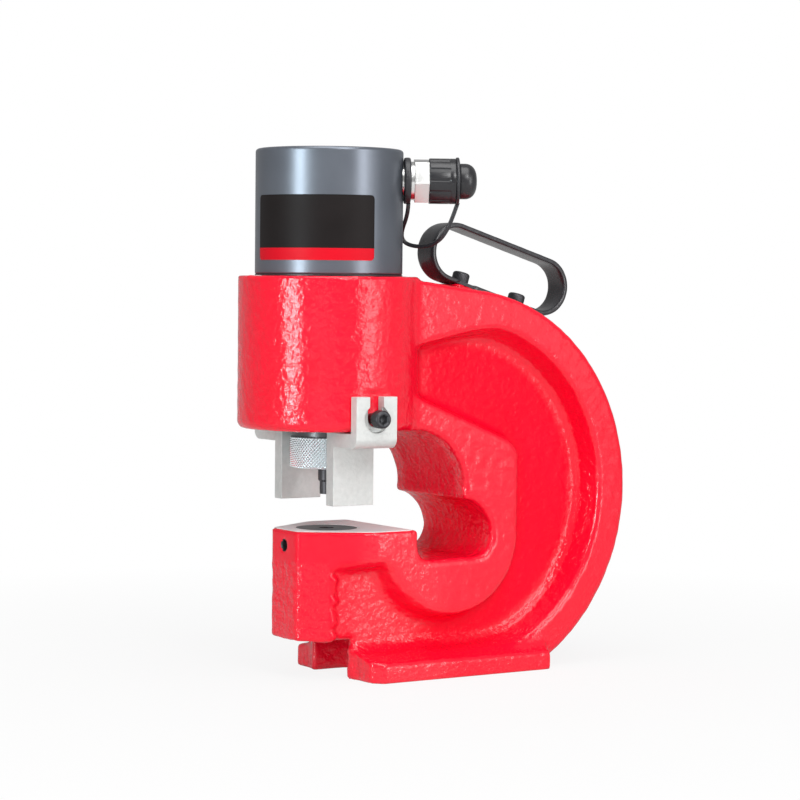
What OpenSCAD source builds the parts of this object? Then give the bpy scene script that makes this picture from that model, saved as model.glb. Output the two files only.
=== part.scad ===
// Hydraulic C-frame hole punch: a cast frame, a spring-return ram, a punch and a die.
// Modules are drawn about the punch axis (X = 0, Y = 0) with the floor at Z = 0, and placed at the end.

/* [Frame] */
// Radius of the frame's round back
back_r = 150; // [140:1:160]
// Distance from the punch axis to the centre of the round back
back_x = 89; // [84:0.5:94]
// How far the circle of the round back reaches below the floor
back_sink = 15; // [12:0.5:18]
// Width of the frame across its rims
frame_w = 97; // [92:1:102]
// Thickness of the web between the side pockets
web_w = 56; // [50:1:62]
// Width of the rim round the back
rim_w = 24; // [20:0.5:28]
// How far the drafted pocket wall leans in from rim to web
pocket_draft = 8; // [4:0.5:11]
// Slope of the top edge between collar and back, degrees
top_slope = 7; // [4:0.5:9]
// Height of the solid arm over the pocket, beside the collar
arm_rim = 46.5; // [40:0.5:52]
// Slope of the pocket's upper edge, degrees
pocket_top_slope = 12.5; // [8:0.5:16]

/* [Collar] */
// Wall of the collar round the cylinder's spigot
collar_wall = 17; // [14:0.5:20]
// Height of the collar's top above the point where the round back begins
collar_rise = 10; // [8:0.5:12]
// Radius of the cast fillet between collar and frame
collar_fillet = 10; // [6:0.5:12]
// Rounding of the collar's lower edge
collar_lower_r = 6; // [3:0.5:8]
// Rounding of the collar's upper edge
collar_upper_r = 2; // [1:0.5:3]

/* [Throat] */
// Height of the anvil face
anvil_z = 109; // [104:0.5:114]
// Opening between the anvil face and the upper jaw
throat_h = 73; // [70:0.5:76]
// Radius of the upper throat lobe
upper_lobe_r = 45; // [42:0.5:48]
// Distance from the punch axis to the centre of the upper lobe
upper_lobe_x = 46; // [44:0.5:48]
// Radius of the lower throat lobe
lower_lobe_r = 28.5; // [27:0.5:30]
// Distance from the punch axis to the centre of the lower lobe
lower_lobe_x = 87; // [85:0.5:89]
// Depth of the lower lobe's centre below the anvil face
lower_lobe_drop = 7; // [5:0.5:9]
// Radius of the lower lobe's bottom corner
lobe_corner_r = 16.5; // [14:0.5:18]
// Depth of the relief behind the anvil
relief_depth = 22.5; // [20:0.5:24]
// Distance from the punch axis to the front of the relief
relief_x = 49.5; // [47:0.5:52]
// Corner radius at the front of the relief
relief_r = 10; // [6:0.5:12]
// Radius of the thick boss round the lower lobe
boss_r = 57; // [54:0.5:60]
// Distance from the punch axis to the boss's centre
boss_x = 81; // [79:0.5:83]
// Depth of the boss's centre below the anvil face
boss_drop = 6; // [4:0.5:8]
// Height of the boss's upper back corner above the anvil face
boss_corner_h = 60; // [56:0.5:64]
// Slope of the boss's upper edge, degrees
boss_slope = 22; // [18:0.5:26]
// Chamfer of the boss's upper back corner
boss_chamfer = 7; // [4:0.5:10]

/* [Lower jaw] */
// Distance from the punch axis to the flat nose
nose_x = 36; // [33:0.5:39]
// Width of the flat nose
nose_w = 37; // [33:1:41]
// Distance behind the axis where the angled facets reach full width
facet_end_x = 12; // [9:0.5:15]
// Radius that blends each facet into the side
facet_blend_r = 36; // [28:1:40]
// Height of the jaw's underside
jaw_under_z = 28.5; // [26:0.5:31]
// Thickness of the band under the anvil face
jaw_band_h = 23.5; // [21:0.5:26]
// Distance from the punch axis forward to the front end of the side pockets
pocket_front = 11; // [8:0.5:13]

/* [Foot] */
// Distance from the punch axis to the front of the foot
foot_front_x = 6.5; // [4:0.5:10]
// Length of the foot
foot_l = 156; // [148:1:164]
// Width of the foot
foot_w = 120; // [112:1:128]
// Height of the foot at its outer edge
foot_edge_h = 14; // [11:0.5:17]
// Height of the foot where it meets the web
foot_root_h = 22; // [19:0.5:25]
// Chamfer on the foot's front corners
foot_chamfer = 8; // [5:0.5:11]
// Width of the slug slot in the foot
slot_w = 46; // [40:1:50]
// Length of the slug slot
slot_l = 39; // [35:1:43]

/* [Cylinder] */
// Wall of the cylinder above its seat
cyl_wall = 14; // [13:0.5:16]
// Height of the cylinder above its seat
cyl_h = 91; // [88:0.5:96]
// Bore of the cylinder
bore_d = 80; // [70:1:90]
// Thickness of the cylinder's closed end
end_wall = 18; // [16:0.5:18.5]
// Wall of the spigot screwed into the collar
spigot_wall = 9; // [7:0.5:10]
// Height of the ram guide in the collar, below the spigot
guide_l = 48; // [44:0.5:52]
// Rounding of the cylinder's upper edge
cyl_edge_r = 2.5; // [1:0.25:4]
// Width of the joint line between cylinder and collar
joint_gap = 1; // [0.6:0.1:1.6]
// Depth of the joint line
joint_depth = 2.5; // [1.5:0.25:4]

/* [Ram] */
// Step from the piston in to the ram
piston_step = 15; // [14:0.5:16]
// Length of the piston
piston_l = 28; // [27:0.5:30]
// Diameter of the stop on top of the piston
piston_stop_d = 36; // [30:1:42]
// Height of the stop on top of the piston
piston_stop_h = 11; // [10:0.5:13]
// Free space above the stop at rest
piston_head_gap = 1; // [0.6:0.1:2]
// Step from the ram in to its threaded nose
nose_step = 5; // [4:0.5:6]
// Length of the threaded ram nose
ram_nose_l = 11; // [9:0.5:13]
// How far the ram stands out of the collar at rest
ram_out = 5; // [4:0.5:6]
// Height of the piston seal
seal_h = 5; // [4:0.25:6]
// Height of the back-up ring under the seal
backup_h = 2; // [1.5:0.25:3]
// Height of the piston's guide ring
guide_ring_h = 7; // [5:0.25:8]
// Depth of the ring grooves in the piston
ring_depth = 4; // [3:0.25:5]
// Plain land between the piston's rings
ring_land = 4; // [3:0.25:4.5]
// Wall of the guide bush
bush_wall = 5; // [4:0.5:6]
// Height of the rod wiper
wiper_h = 7; // [5:0.5:9]

/* [Return spring] */
// Wire diameter of the return spring
spring_wire = 7; // [6:0.25:7.5]
// Distance between two turns of the return spring
spring_pitch = 11.5; // [10:0.5:14]

/* [Punch and die] */
// How far the knurled punch nut stands out past the ram
nut_proud = 2.5; // [1:0.25:3.5]
// Bevel on the punch nut's rims
nut_bevel_w = 1; // [0.5:0.25:1.5]
// Height of the punch nut
nut_h = 23; // [21:0.5:25]
// Thickness of the nut's lower lip
nut_lip_t = 4; // [3:0.25:5]
// Diameter of the hole in the nut's lower lip
nut_hole_d = 15; // [14.5:0.25:17]
// Clearance between the punch's head and the nut's thread
punch_head_gap = 2.5; // [1:0.25:4]
// Diameter of the punch's shank
punch_shank_d = 13; // [11.5:0.25:14]
// Diameter of the punch's working tip
punch_tip_d = 10.5; // [8:0.25:11.25]
// Length of the parallel working tip
punch_tip_l = 9; // [7:0.5:11]
// Height of the punch's tip above the anvil face at rest
punch_gap = 25; // [23:0.5:27]
// Outer diameter of the die
die_d = 45; // [43:0.5:47]
// Height of the die
die_h = 20; // [18:0.5:22]
// Gap between punch and die, each side
die_clear = 0.35; // [0.2:0.05:0.6]
// Depth of the die's cutting land
die_land = 5; // [4:0.5:7]
// Diameter of the relief under the cutting land
die_relief_d = 15; // [14.5:0.5:18]
// Diameter of the slug hole under the die
slug_d = 22; // [20:0.5:25]
// Diameter of the die's set screw
set_screw_d = 8; // [6:0.5:10]
// Length of the die's set screw
set_screw_l = 8; // [7:0.5:9]
// Depth of the set screw's axis below the anvil face
set_screw_drop = 11.5; // [10:0.5:13]

/* [Strippers] */
// Width of each stripper
stripper_w = 34; // [30:0.5:38]
// Shift of the strippers towards the nose
stripper_shift = 3; // [0:0.5:5]
// Depth of the flats milled on the collar
flat_cut = 1.2; // [0.8:0.1:2]
// Height of the milled flats
flat_h = 30; // [28:0.5:34]
// Thickness of the ear outside the collar
ear_t = 8; // [7:0.25:9]
// Height of the ear above the shelf's underside
ear_h = 37; // [34:0.5:40]
// Thickness of the shelf under the collar
shelf_t = 10.5; // [9:0.25:12]
// Gap between the nut and the leg's inner face
leg_gap = 4.5; // [3:0.25:6]
// Thickness of the leg
leg_t = 10; // [9:0.25:12]
// Height of the leg's foot above the anvil face
strip_gap = 19.5; // [18:0.5:21]
// Rounding of the bend between ear and shelf
bend_r = 7; // [4:0.5:8]
// Width of the ear's slot
ear_slot_w = 11.5; // [10:0.25:12]
// Diameter of the round recess in the ear
ear_recess_d = 20; // [18:0.5:21]
// Depth of the round recess
ear_recess_depth = 3; // [2.5:0.25:4]
// Gap between the screw heads and the ears
ear_screw_gap = 1.2; // [0.5:0.1:2]
// Height of the stripper screws above the collar's lower edge
ear_screw_z = 10.5; // [9.5:0.25:11.5]

/* [Socket screws] */
// Thread diameter of the socket screws
screw_d = 8; // [7:0.5:9]
// Head diameter of the socket screws
screw_head_d = 13; // [12:0.25:14]
// Head height of the socket screws
screw_head_h = 8; // [7:0.25:9]
// Key size of the socket
screw_key = 6; // [5:0.25:6.5]
// Length of thread in the casting
screw_grip = 14; // [12:0.5:16]

/* [Coupler] */
// Direction of the coupler round the cylinder, degrees from the frame's back
port_angle = -30; // [-40:1:-15]
// Depth of the coupler's axis below the cylinder's top
port_drop = 22; // [20:0.5:24]
// Diameter of the nipple's threaded end
port_thread_d = 17; // [15:0.5:19]
// Length of the nipple's threaded end
port_thread_l = 9; // [8:0.25:9.5]
// Diameter of the oil drillings
oil_d = 6; // [4:0.5:8]
// Diameter of the nipple's neck
neck_d = 21.5; // [20:0.5:23]
// Depth of the spot face round the port
spot_depth = 3; // [2.5:0.25:4]
// Thickness of the sealing washer on the spot face
port_seal_h = 2; // [1.5:0.25:2.5]
// Length of the neck outside the cylinder
neck_l = 5.4; // [5:0.2:7]
// Diameter of the shoulder between neck and hexagon
shoulder_d = 28; // [26:0.5:29]
// Length of the shoulder
shoulder_l = 2.6; // [2:0.2:4]
// Width across flats of the hexagon
hex_af = 29.5; // [28.5:0.5:31.5]
// Turn of the hexagon about the coupler's axis, degrees
hex_turn = 40; // [0:5:55]
// Length of the hexagon
hex_l = 10.5; // [9:0.5:12]
// Diameter of the nipple's nose
coupler_nose_d = 24; // [22.5:0.5:25]
// Length of the nipple's nose
coupler_nose_l = 18; // [16:0.5:19]
// Bore of the nipple
coupler_bore_d = 13; // [12:0.5:14]
// Mouth of the nipple that the poppet closes
coupler_mouth_d = 8; // [7:0.5:9]
// Thickness of the wall round the mouth
coupler_mouth_t = 3; // [2.5:0.25:4]
// Length of the poppet's guide
poppet_l = 6; // [5:0.25:6.5]
// Wire diameter of the poppet spring
poppet_wire = 1.2; // [0.9:0.1:1.4]
// Turns of the poppet spring
poppet_turns = 4; // [3:1:5]

/* [Dust cap] */
// Outer diameter of the dust cap
cap_d = 33.2; // [32:0.4:35]
// Length of the dust cap's sleeve
cap_l = 19.5; // [19.25:0.25:21]
// Diameter of the dust cap's knob
cap_knob_d = 26; // [24:0.5:28]
// Length of the dust cap's knob
cap_knob_l = 13; // [11:0.5:15]
// Number of grip grooves round the dust cap
cap_grooves = 12; // [8:1:16]
// Width of the grip grooves
cap_groove_w = 2.6; // [1.5:0.1:3.5]
// Length of the grip grooves
cap_groove_l = 15; // [12:0.5:17]
// Rounding of the knob's end
cap_knob_r = 5.5; // [3:0.5:5.5]
// Rounding of the knob's inner rim
cap_rim_r = 1; // [0.5:0.25:2]
// Outer diameter of the tether's ring on the neck
neck_ring_d = 32; // [30:0.5:32.5]
// Outer diameter of the tether's ring on the cap
cap_ring_d = 35; // [33.5:0.5:35.5]
// Thickness of the tether's rings
tether_ring_t = 2.6; // [2:0.2:3]
// Diameter of the tether's cord
tether_d = 3.6; // [3:0.2:3.9]

/* [Handle] */
// Overall length of the handle loop
handle_l = 130; // [120:1:140]
// Overall height of the handle loop
handle_h = 45; // [42:0.5:48]
// Width of the steel strap
strap_w = 20; // [18:0.5:22]
// Thickness of the steel strap
strap_t = 2.4; // [2:0.1:3]
// Thickness of the rubber cover
cover_t = 0.9; // [0.7:0.1:1.3]
// Slope of the handle down towards the back, degrees
handle_tilt = 17; // [14:0.5:20]
// Place of the handle round the back, degrees from the top
handle_at = 19.7; // [17:0.1:22]
// Height of the handle's seat over the round back
handle_lift = 2.5; // [1.5:0.25:4]
// Spacing of the handle screws
handle_screw_pitch = 54; // [48:1:58]
// Gap between the strap's two ends
strap_gap = 6; // [4:0.5:9]
// Width of the cast pad under the handle
pad_w = 30; // [26:1:34]
// Length of the cast pad under the handle
pad_l = 76; // [72:1:80]

/* [Clearances] */
// Running clearance of ram, piston and nut, each side
run_clear = 0.05; // [0.02:0.01:0.09]
// Clearance of seated fixed pieces, each side
seat_clear = 0.05; // [0.02:0.01:0.1]
// Clearance between loose neighbours
free_gap = 0.3; // [0.2:0.05:0.5]
// Clearance of screws in plain holes, each side
hole_clear = 0.25; // [0.1:0.05:0.4]

/* [Hidden] */
$fn = 96;
cut = 1;
back_z = back_r - back_sink;
touch_x = back_x + back_r * sin(top_slope);
touch_z = back_z + back_r * cos(top_slope);
cyl_d = bore_d + 2 * cyl_wall;
spigot_d = bore_d + 2 * spigot_wall;
collar_d = spigot_d + 2 * collar_wall;
collar_r = collar_d / 2;
collar_z = anvil_z + throat_h;
collar_top = touch_z + collar_rise;
collar_h = collar_top - collar_z;
cyl_z = collar_top + joint_gap;
cyl_top = cyl_z + cyl_h;
bore_top = cyl_top - end_wall;
spigot_z = collar_z + guide_l;
spigot_l = collar_top - spigot_z;
socket_z = spigot_z - free_gap;
frame_half = frame_w / 2;
web_half = web_w / 2;
fillet_x = sqrt(pow(collar_r + collar_fillet, 2) - pow(frame_half + collar_fillet, 2));
arm_top_z = touch_z + (touch_x - fillet_x) * tan(top_slope);
pocket_top_z = arm_top_z - arm_rim;
pocket_floor_r = back_r - rim_w - pocket_draft;
lobe_z = anvil_z - lower_lobe_drop;
relief_z = anvil_z - relief_depth;
corner_z = relief_z + lobe_corner_r;
corner_x = lower_lobe_x + lower_lobe_r - lobe_corner_r;
boss_z = anvil_z - boss_drop;
boss_back = boss_x + boss_r;
boss_top = anvil_z + boss_corner_h;
facet_angle = atan((frame_half - nose_w / 2) / (facet_end_x + nose_x));
blend_x = facet_end_x + facet_blend_r * tan(facet_angle / 2);
blend_flats = 5;
ram_d = bore_d - 2 * piston_step;
ram_nose_d = ram_d - 2 * nose_step;
bush_d = ram_d + 2 * bush_wall;
nut_d = ram_d + 2 * nut_proud;
punch_head_d = ram_nose_d - 2 * punch_head_gap;
leg_y = nut_d / 2 + leg_gap;
flat_y = collar_r - flat_cut;
piston_top = bore_top - piston_head_gap - piston_stop_h;
piston_z = piston_top - piston_l;
ram_end_z = collar_z - ram_out;
ram_nose_z = ram_end_z - ram_nose_l;
nut_top = ram_end_z - free_gap;
nut_z = nut_top - nut_h;
punch_head_z = nut_z + nut_lip_t + free_gap;
punch_tip_z = anvil_z + punch_gap;
die_z = anvil_z - die_h;
die_hole_d = punch_tip_d + 2 * die_clear;
stripper_top = collar_z - free_gap;
shelf_z = stripper_top - shelf_t;
ear_y = flat_y + free_gap;
ear_screw_height = collar_z + ear_screw_z;
screw_seat_y = ear_y + ear_t + ear_screw_gap;
port_z = cyl_top - port_drop;
spot_r = cyl_d / 2 - spot_depth;
shoulder_r = cyl_d / 2 + neck_l;
hex_r = shoulder_r + shoulder_l;
nose_r = hex_r + hex_l;
nose_end = nose_r + coupler_nose_l;
cap_r = nose_r + free_gap;
knob_r = cap_r + cap_l + tether_ring_t;
poppet_r = nose_end - coupler_mouth_t - free_gap - poppet_l;
poppet_seat_r = nose_r - shoulder_l;
poppet_spring_l = poppet_r - poppet_seat_r - 2 * free_gap;
handle_x = back_x + (back_r + handle_lift) * sin(handle_at);
handle_z = back_z + (back_r + handle_lift) * cos(handle_at);
spring_l = piston_z - socket_z - 2 * free_gap;
spring_turns = floor((spring_l - spring_wire) / spring_pitch);
origin_x = (back_x + back_r - collar_r) / 2;

// Points of the tether as [out from the axis, sideways, height], from the neck ring to the cap ring
tether_route = [
    [58, 0, 347.5], [57.6, 4, 341.5], [56.6, 9.5, 336], [55.2, 15, 331], [54.4, 19.5, 326.5], [54.8, 22, 322.5],
    [57, 22.5, 319.3], [61, 21, 317.3], [66, 18, 316.4], [71.5, 14, 316.6], [77, 9.5, 318.2], [81.8, 5.5, 321.6],
    [85.4, 2.5, 326.4], [88.3, 0.8, 332.2], [90.8, 0, 338.6], [93.2, 0, 345.4]
];

// Placing helpers

module place() translate([-origin_x, 0, 0]) children();

// A side-view outline, extruded across the frame
module across(width) rotate([90, 0, 0]) linear_extrude(width, center = true) children();

// The coupler's own axis: children are drawn along +Z, starting at the punch axis
module along_port() rotate([0, 0, port_angle]) translate([0, 0, port_z]) rotate([0, 90, 0]) children();

// The handle's own frame: X along the strap, Z square to its seat
module on_handle() translate([handle_x, 0, handle_z]) rotate([0, handle_tilt, 0]) children();

// A ring between two radii
module ring(outer_d, inner_d, h) difference() {
    cylinder(h, d = outer_d);
    translate([0, 0, -cut]) cylinder(h + 2 * cut, d = inner_d);
}

// A turned solid with rounded lower and upper rims
module rounded_drum(d, h, lower_r, upper_r) rotate_extrude() {
    square([d / 2 - lower_r, h / 2]);
    translate([0, h / 2]) square([d / 2 - upper_r, h / 2]);
    translate([0, lower_r]) square([d / 2, h - lower_r - upper_r]);
    translate([d / 2 - lower_r, lower_r]) circle(lower_r);
    translate([d / 2 - upper_r, h - upper_r]) circle(upper_r);
}

// A socket head screw along -Z, with its head standing on Z = 0
module socket_screw(length) difference() {
    union() {
        cylinder(screw_head_h, d = screw_head_d);
        translate([0, 0, -length]) cylinder(length + cut, d = screw_d);
    }
    translate([0, 0, screw_head_h / 2]) cylinder(screw_head_h, d = screw_key / cos(30), $fn = 6);
}

// A stadium outline, standing on y = 0 about x = 0
module stadium(l, h) {
    translate([-(l - h) / 2, 0]) square([l - h, h]);
    for (side = [-1, 1]) translate([side * (l - h) / 2, h / 2]) circle(h / 2);
}

// Helical springs

coil_steps = 8;
wire_sides = 6;

function coil_point(d, pitch, i) = [
    d / 2 * cos(360 * i / coil_steps), d / 2 * sin(360 * i / coil_steps), pitch * i / coil_steps
];
function wire_ring(d, wire, pitch, i) = [
    for (k = [0:wire_sides - 1])
        let (a = 360 * i / coil_steps, b = 360 * k / wire_sides, r = d / 2 + wire / 2 * cos(b))
        [r * cos(a), r * sin(a), pitch * i / coil_steps + wire / 2 * sin(b)]
];
function tube_faces(rings, sides) = concat(
    [for (i = [0:rings - 2], k = [0:sides - 1])
        let (n = (k + 1) % sides) [i * sides + k, (i + 1) * sides + k, (i + 1) * sides + n]],
    [for (i = [0:rings - 2], k = [0:sides - 1])
        let (n = (k + 1) % sides) [i * sides + k, (i + 1) * sides + n, i * sides + n]],
    [for (k = [1:sides - 2]) [0, k, k + 1]],
    [for (k = [1:sides - 2]) let (b = (rings - 1) * sides) [b, b + k + 1, b + k]]
);
// The least gap between a wire and its own next turns
function coil_gap(d, wire, pitch, turns) = min([
    for (i = [0:coil_steps * turns], j = [i + coil_steps / 2:coil_steps * turns])
        norm(coil_point(d, pitch, i) - coil_point(d, pitch, j))
]) - wire;

module coil(d, wire, length, turns) {
    pitch = (length - wire) / turns;
    rings = coil_steps * turns + 1;
    echo("least gap of a spring to itself", coil_gap(d, wire, pitch, turns));
    translate([0, 0, wire / 2]) polyhedron(
        [for (i = [0:rings - 1]) each wire_ring(d, wire, pitch, i)],
        tube_faces(rings, wire_sides)
    );
}

// The cast frame

// Side view of the round back and the upper arm, with the throat still solid
module frame_side() {
    intersection() {
        translate([back_x, back_z]) circle(back_r);
        union() {
            translate([blend_x, 0]) square([back_r * 2, back_r * 2]);
            translate([0, collar_z - cut]) square([back_r * 2, back_r * 2]);
        }
    }
    polygon([
        [0, collar_z], [touch_x, collar_z], [touch_x, touch_z],
        [touch_x - (collar_top - touch_z) / tan(top_slope), collar_top], [0, collar_top]
    ]);
}

// Top view of the lower jaw: a flat nose, two angled facets and sides blended in by short flats
function blend_point(a) = [
    blend_x - facet_blend_r * sin(a), frame_half - facet_blend_r + facet_blend_r * cos(a)
];

module jaw_plan() {
    side = concat(
        [[blend_x + facet_blend_r, frame_half]],
        [for (i = [0:blend_flats]) blend_point(facet_angle * i / blend_flats)],
        [[-nose_x, nose_w / 2]]
    );
    polygon(concat(side, [for (i = [len(side) - 1:-1:0]) [side[i][0], -side[i][1]]]));
}

// Side view of the throat: two lobes, the relief behind the anvil and the open front
module throat_side() {
    reach = 2 * collar_r;
    intersection() {
        translate([upper_lobe_x, collar_z - upper_lobe_r]) circle(upper_lobe_r);
        translate([-reach, anvil_z]) square([2 * reach, throat_h]);
    }
    translate([-reach, anvil_z]) square([reach + upper_lobe_x, throat_h]);
    translate([upper_lobe_x - cut, anvil_z - cut])
        square([lower_lobe_x - upper_lobe_x + cut, lower_lobe_r / 2]);
    intersection() {
        translate([lower_lobe_x, lobe_z]) circle(lower_lobe_r);
        translate([0, corner_z]) square(reach);
    }
    translate([corner_x, corner_z]) circle(lobe_corner_r);
    translate([relief_x + relief_r, relief_z]) square([corner_x - relief_x - relief_r, relief_depth + cut]);
    translate([relief_x, relief_z + relief_r])
        square([corner_x - relief_x, relief_depth - relief_r + cut]);
    translate([relief_x + relief_r, relief_z + relief_r]) circle(relief_r);
}

// Side view of what stays full width inside the rim: boss, jaw band and the arm under the pocket
module boss_side() {
    translate([boss_x, boss_z]) circle(boss_r);
    polygon([
        [0, boss_z], [boss_back, boss_z], [boss_back, boss_top - boss_chamfer],
        [boss_back - boss_chamfer, boss_top + boss_chamfer * tan(boss_slope)],
        [0, boss_top + boss_back * tan(boss_slope)]
    ]);
    translate([-nose_x - cut, anvil_z - jaw_band_h]) square([nose_x + cut + boss_x, jaw_band_h]);
}

// One side pocket, as the solid that is taken out of the +Y side
module side_pocket() difference() {
    depth = frame_half - web_half;
    over = 1 + cut / depth;
    intersection() {
        union() {
            translate([back_x, web_half, back_z]) rotate([-90, 0, 0])
                cylinder(depth + cut, pocket_floor_r, pocket_floor_r + pocket_draft * over);
            translate([-pocket_front, web_half, 0]) cube([back_x + pocket_front, depth + cut, back_z]);
        }
        translate([0, web_half, 0]) rotate([90, 0, 0]) mirror([0, 0, 1]) linear_extrude(depth + cut)
            polygon([
                [-pocket_front, 0], [back_x + back_r, 0],
                [back_x + back_r, pocket_top_z + (back_x + back_r - fillet_x) * tan(pocket_top_slope)],
                [fillet_x, pocket_top_z], [fillet_x, boss_z], [-pocket_front, boss_z]
            ]);
    }
    across(3 * frame_w) boss_side();
}

// The collar with its cast fillets to the frame's sides
module collar() {
    translate([0, 0, collar_z]) rounded_drum(collar_d, collar_h, collar_lower_r, collar_upper_r);
    for (side = [0, 1]) mirror([0, side, 0])
        translate([0, 0, collar_z + collar_lower_r])
            linear_extrude(arm_top_z - collar_z - collar_lower_r) difference() {
                polygon([[0, 0], [fillet_x, frame_half], [fillet_x, frame_half + collar_fillet]]);
                translate([fillet_x, frame_half + collar_fillet]) circle(collar_fillet);
            }
}

// The foot: two rails with sloping tops that meet the web
module foot() intersection() {
    translate([foot_front_x, 0, 0]) rotate([90, 0, 90]) linear_extrude(foot_l) polygon([
        [-foot_w / 2, 0], [foot_w / 2, 0], [foot_w / 2, foot_edge_h], [web_half, foot_root_h],
        [-web_half, foot_root_h], [-foot_w / 2, foot_edge_h]
    ]);
    linear_extrude(foot_root_h + cut) polygon([
        [foot_front_x, -foot_w / 2 + foot_chamfer], [foot_front_x + foot_chamfer, -foot_w / 2],
        [foot_front_x + foot_l, -foot_w / 2], [foot_front_x + foot_l, foot_w / 2],
        [foot_front_x + foot_chamfer, foot_w / 2], [foot_front_x, foot_w / 2 - foot_chamfer]
    ]);
}

// The slot through which slugs are cleared from under the jaw
module slug_slot() {
    end_x = foot_front_x + slot_l - slot_w / 2;
    translate([0, -slot_w / 2, -cut]) cube([end_x, slot_w, jaw_under_z + cut]);
    translate([end_x, 0, -cut]) cylinder(jaw_under_z + cut, d = slot_w);
}

module casting_body() color("crimson") place() difference() {
    union() {
        difference() {
            union() {
                across(frame_w) frame_side();
                translate([0, 0, jaw_under_z]) linear_extrude(anvil_z - jaw_under_z) jaw_plan();
                translate([foot_front_x, -web_half, 0])
                    cube([back_x - foot_front_x, web_w, anvil_z - jaw_band_h]);
            }
            for (side = [0, 1]) mirror([0, side, 0]) side_pocket();
        }
        collar();
        foot();
        on_handle() translate([-pad_l / 2, -pad_w / 2, -rim_w]) cube([pad_l, pad_w, rim_w]);
    }
    across(3 * frame_w) throat_side();
    slug_slot();
    translate([0, 0, socket_z]) cylinder(collar_h, d = spigot_d + 2 * seat_clear);
    translate([0, 0, collar_z - cut]) cylinder(collar_h, d = bush_d + 2 * seat_clear);
    translate([0, 0, die_z]) cylinder(die_h + cut, d = die_d + 2 * seat_clear);
    translate([0, 0, jaw_under_z - cut]) cylinder(die_z, d = slug_d);
    translate([0, 0, anvil_z - set_screw_drop]) rotate([0, -90, 0])
        cylinder(nose_x + cut, d = set_screw_d + 2 * seat_clear);
    for (side = [-1, 1]) {
        translate([-collar_r, side * (flat_y + collar_r / 2) - collar_r / 2, collar_z - cut])
            cube([collar_d, collar_r, flat_h + cut]);
        translate([-stripper_shift, 0, ear_screw_height]) rotate([-90 * side, 0, 0])
            translate([0, 0, flat_y - screw_grip]) cylinder(screw_grip + cut, d = screw_d + 2 * seat_clear);
        on_handle() translate([side * handle_screw_pitch / 2, 0, -screw_grip])
            cylinder(screw_grip + cut, d = screw_d + 2 * seat_clear);
    }
}

// Cylinder, ram and the pieces between them

module cylinder_body() color("dimgray") place() difference() {
    union() {
        translate([0, 0, cyl_z]) rounded_drum(cyl_d, cyl_h, cyl_edge_r / 2, cyl_edge_r);
        translate([0, 0, collar_top]) cylinder(joint_gap + cut, d = cyl_d - 2 * joint_depth);
        translate([0, 0, spigot_z]) cylinder(spigot_l + cut, d = spigot_d);
    }
    translate([0, 0, spigot_z - cut]) cylinder(bore_top - spigot_z + cut, d = bore_d);
    along_port() {
        translate([0, 0, spot_r]) cylinder(cyl_d, d = neck_d + 2 * free_gap);
        translate([0, 0, spot_r - port_thread_l]) cylinder(cyl_d, d = port_thread_d + 2 * seat_clear);
        translate([0, 0, bore_d / 2 - oil_d]) cylinder(cyl_d / 2, d = oil_d);
    }
}

module cylinder_o_ring() color("black") place() translate([0, 0, collar_top])
    ring(cyl_d - 2 * seat_clear, cyl_d - 2 * joint_depth, joint_gap);

seal_z = piston_top - ring_land - seal_h;
backup_z = seal_z - backup_h;
guide_ring_z = piston_z + ring_land;
ring_root_d = bore_d - 2 * ring_depth;

module piston_ram() color("gray") place() difference() {
    union() {
        translate([0, 0, piston_z]) cylinder(piston_l, d = bore_d - 2 * run_clear);
        translate([0, 0, piston_top - cut]) cylinder(piston_stop_h + cut, d = piston_stop_d);
        translate([0, 0, ram_end_z]) cylinder(piston_z - ram_end_z + cut, d = ram_d - 2 * run_clear);
        translate([0, 0, ram_nose_z]) cylinder(ram_nose_l + cut, d = ram_nose_d - 2 * run_clear);
    }
    translate([0, 0, backup_z]) ring(bore_d + cut, ring_root_d, seal_h + backup_h);
    translate([0, 0, guide_ring_z]) ring(bore_d + cut, ring_root_d, guide_ring_h);
}

module piston_ring(z, h) place() translate([0, 0, z])
    ring(bore_d - 2 * run_clear, ring_root_d + 2 * seat_clear, h);

module piston_seal() color("darkblue") piston_ring(seal_z, seal_h);
module piston_backup_ring() color("white") piston_ring(backup_z, backup_h);
module piston_guide_ring() color("tan") piston_ring(guide_ring_z, guide_ring_h);

module return_spring() color("silver") place() translate([0, 0, socket_z + free_gap])
    coil(bore_d - piston_step, spring_wire, spring_l, spring_turns);

module rod_guide_bush() color("goldenrod") place() translate([0, 0, collar_z + wiper_h])
    ring(bush_d, ram_d, socket_z - collar_z - wiper_h);

module rod_wiper() color("black") place() translate([0, 0, collar_z]) ring(bush_d, ram_d, wiper_h);

// Punch, nut and die

module punch() color("dimgray") place() {
    taper_z = punch_tip_z + punch_tip_l;
    taper_h = (punch_shank_d - punch_tip_d) / 2;
    translate([0, 0, punch_head_z]) cylinder(ram_nose_z - punch_head_z, d = punch_head_d);
    translate([0, 0, taper_z + taper_h]) cylinder(punch_head_z - taper_z - taper_h + cut, d = punch_shank_d);
    translate([0, 0, taper_z]) cylinder(taper_h, d1 = punch_tip_d, d2 = punch_shank_d);
    translate([0, 0, punch_tip_z]) cylinder(punch_tip_l, d = punch_tip_d);
}

module punch_nut() color("darkgray") place() difference() {
    translate([0, 0, nut_z]) {
        cylinder(nut_bevel_w, d1 = nut_d - 2 * nut_bevel_w, d2 = nut_d);
        translate([0, 0, nut_bevel_w]) cylinder(nut_h - 2 * nut_bevel_w, d = nut_d);
        translate([0, 0, nut_h - nut_bevel_w])
            cylinder(nut_bevel_w, d1 = nut_d, d2 = nut_d - 2 * nut_bevel_w);
    }
    translate([0, 0, nut_z + nut_lip_t]) cylinder(nut_h, d = ram_nose_d);
    translate([0, 0, nut_z - cut]) cylinder(nut_h, d = nut_hole_d);
}

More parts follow.
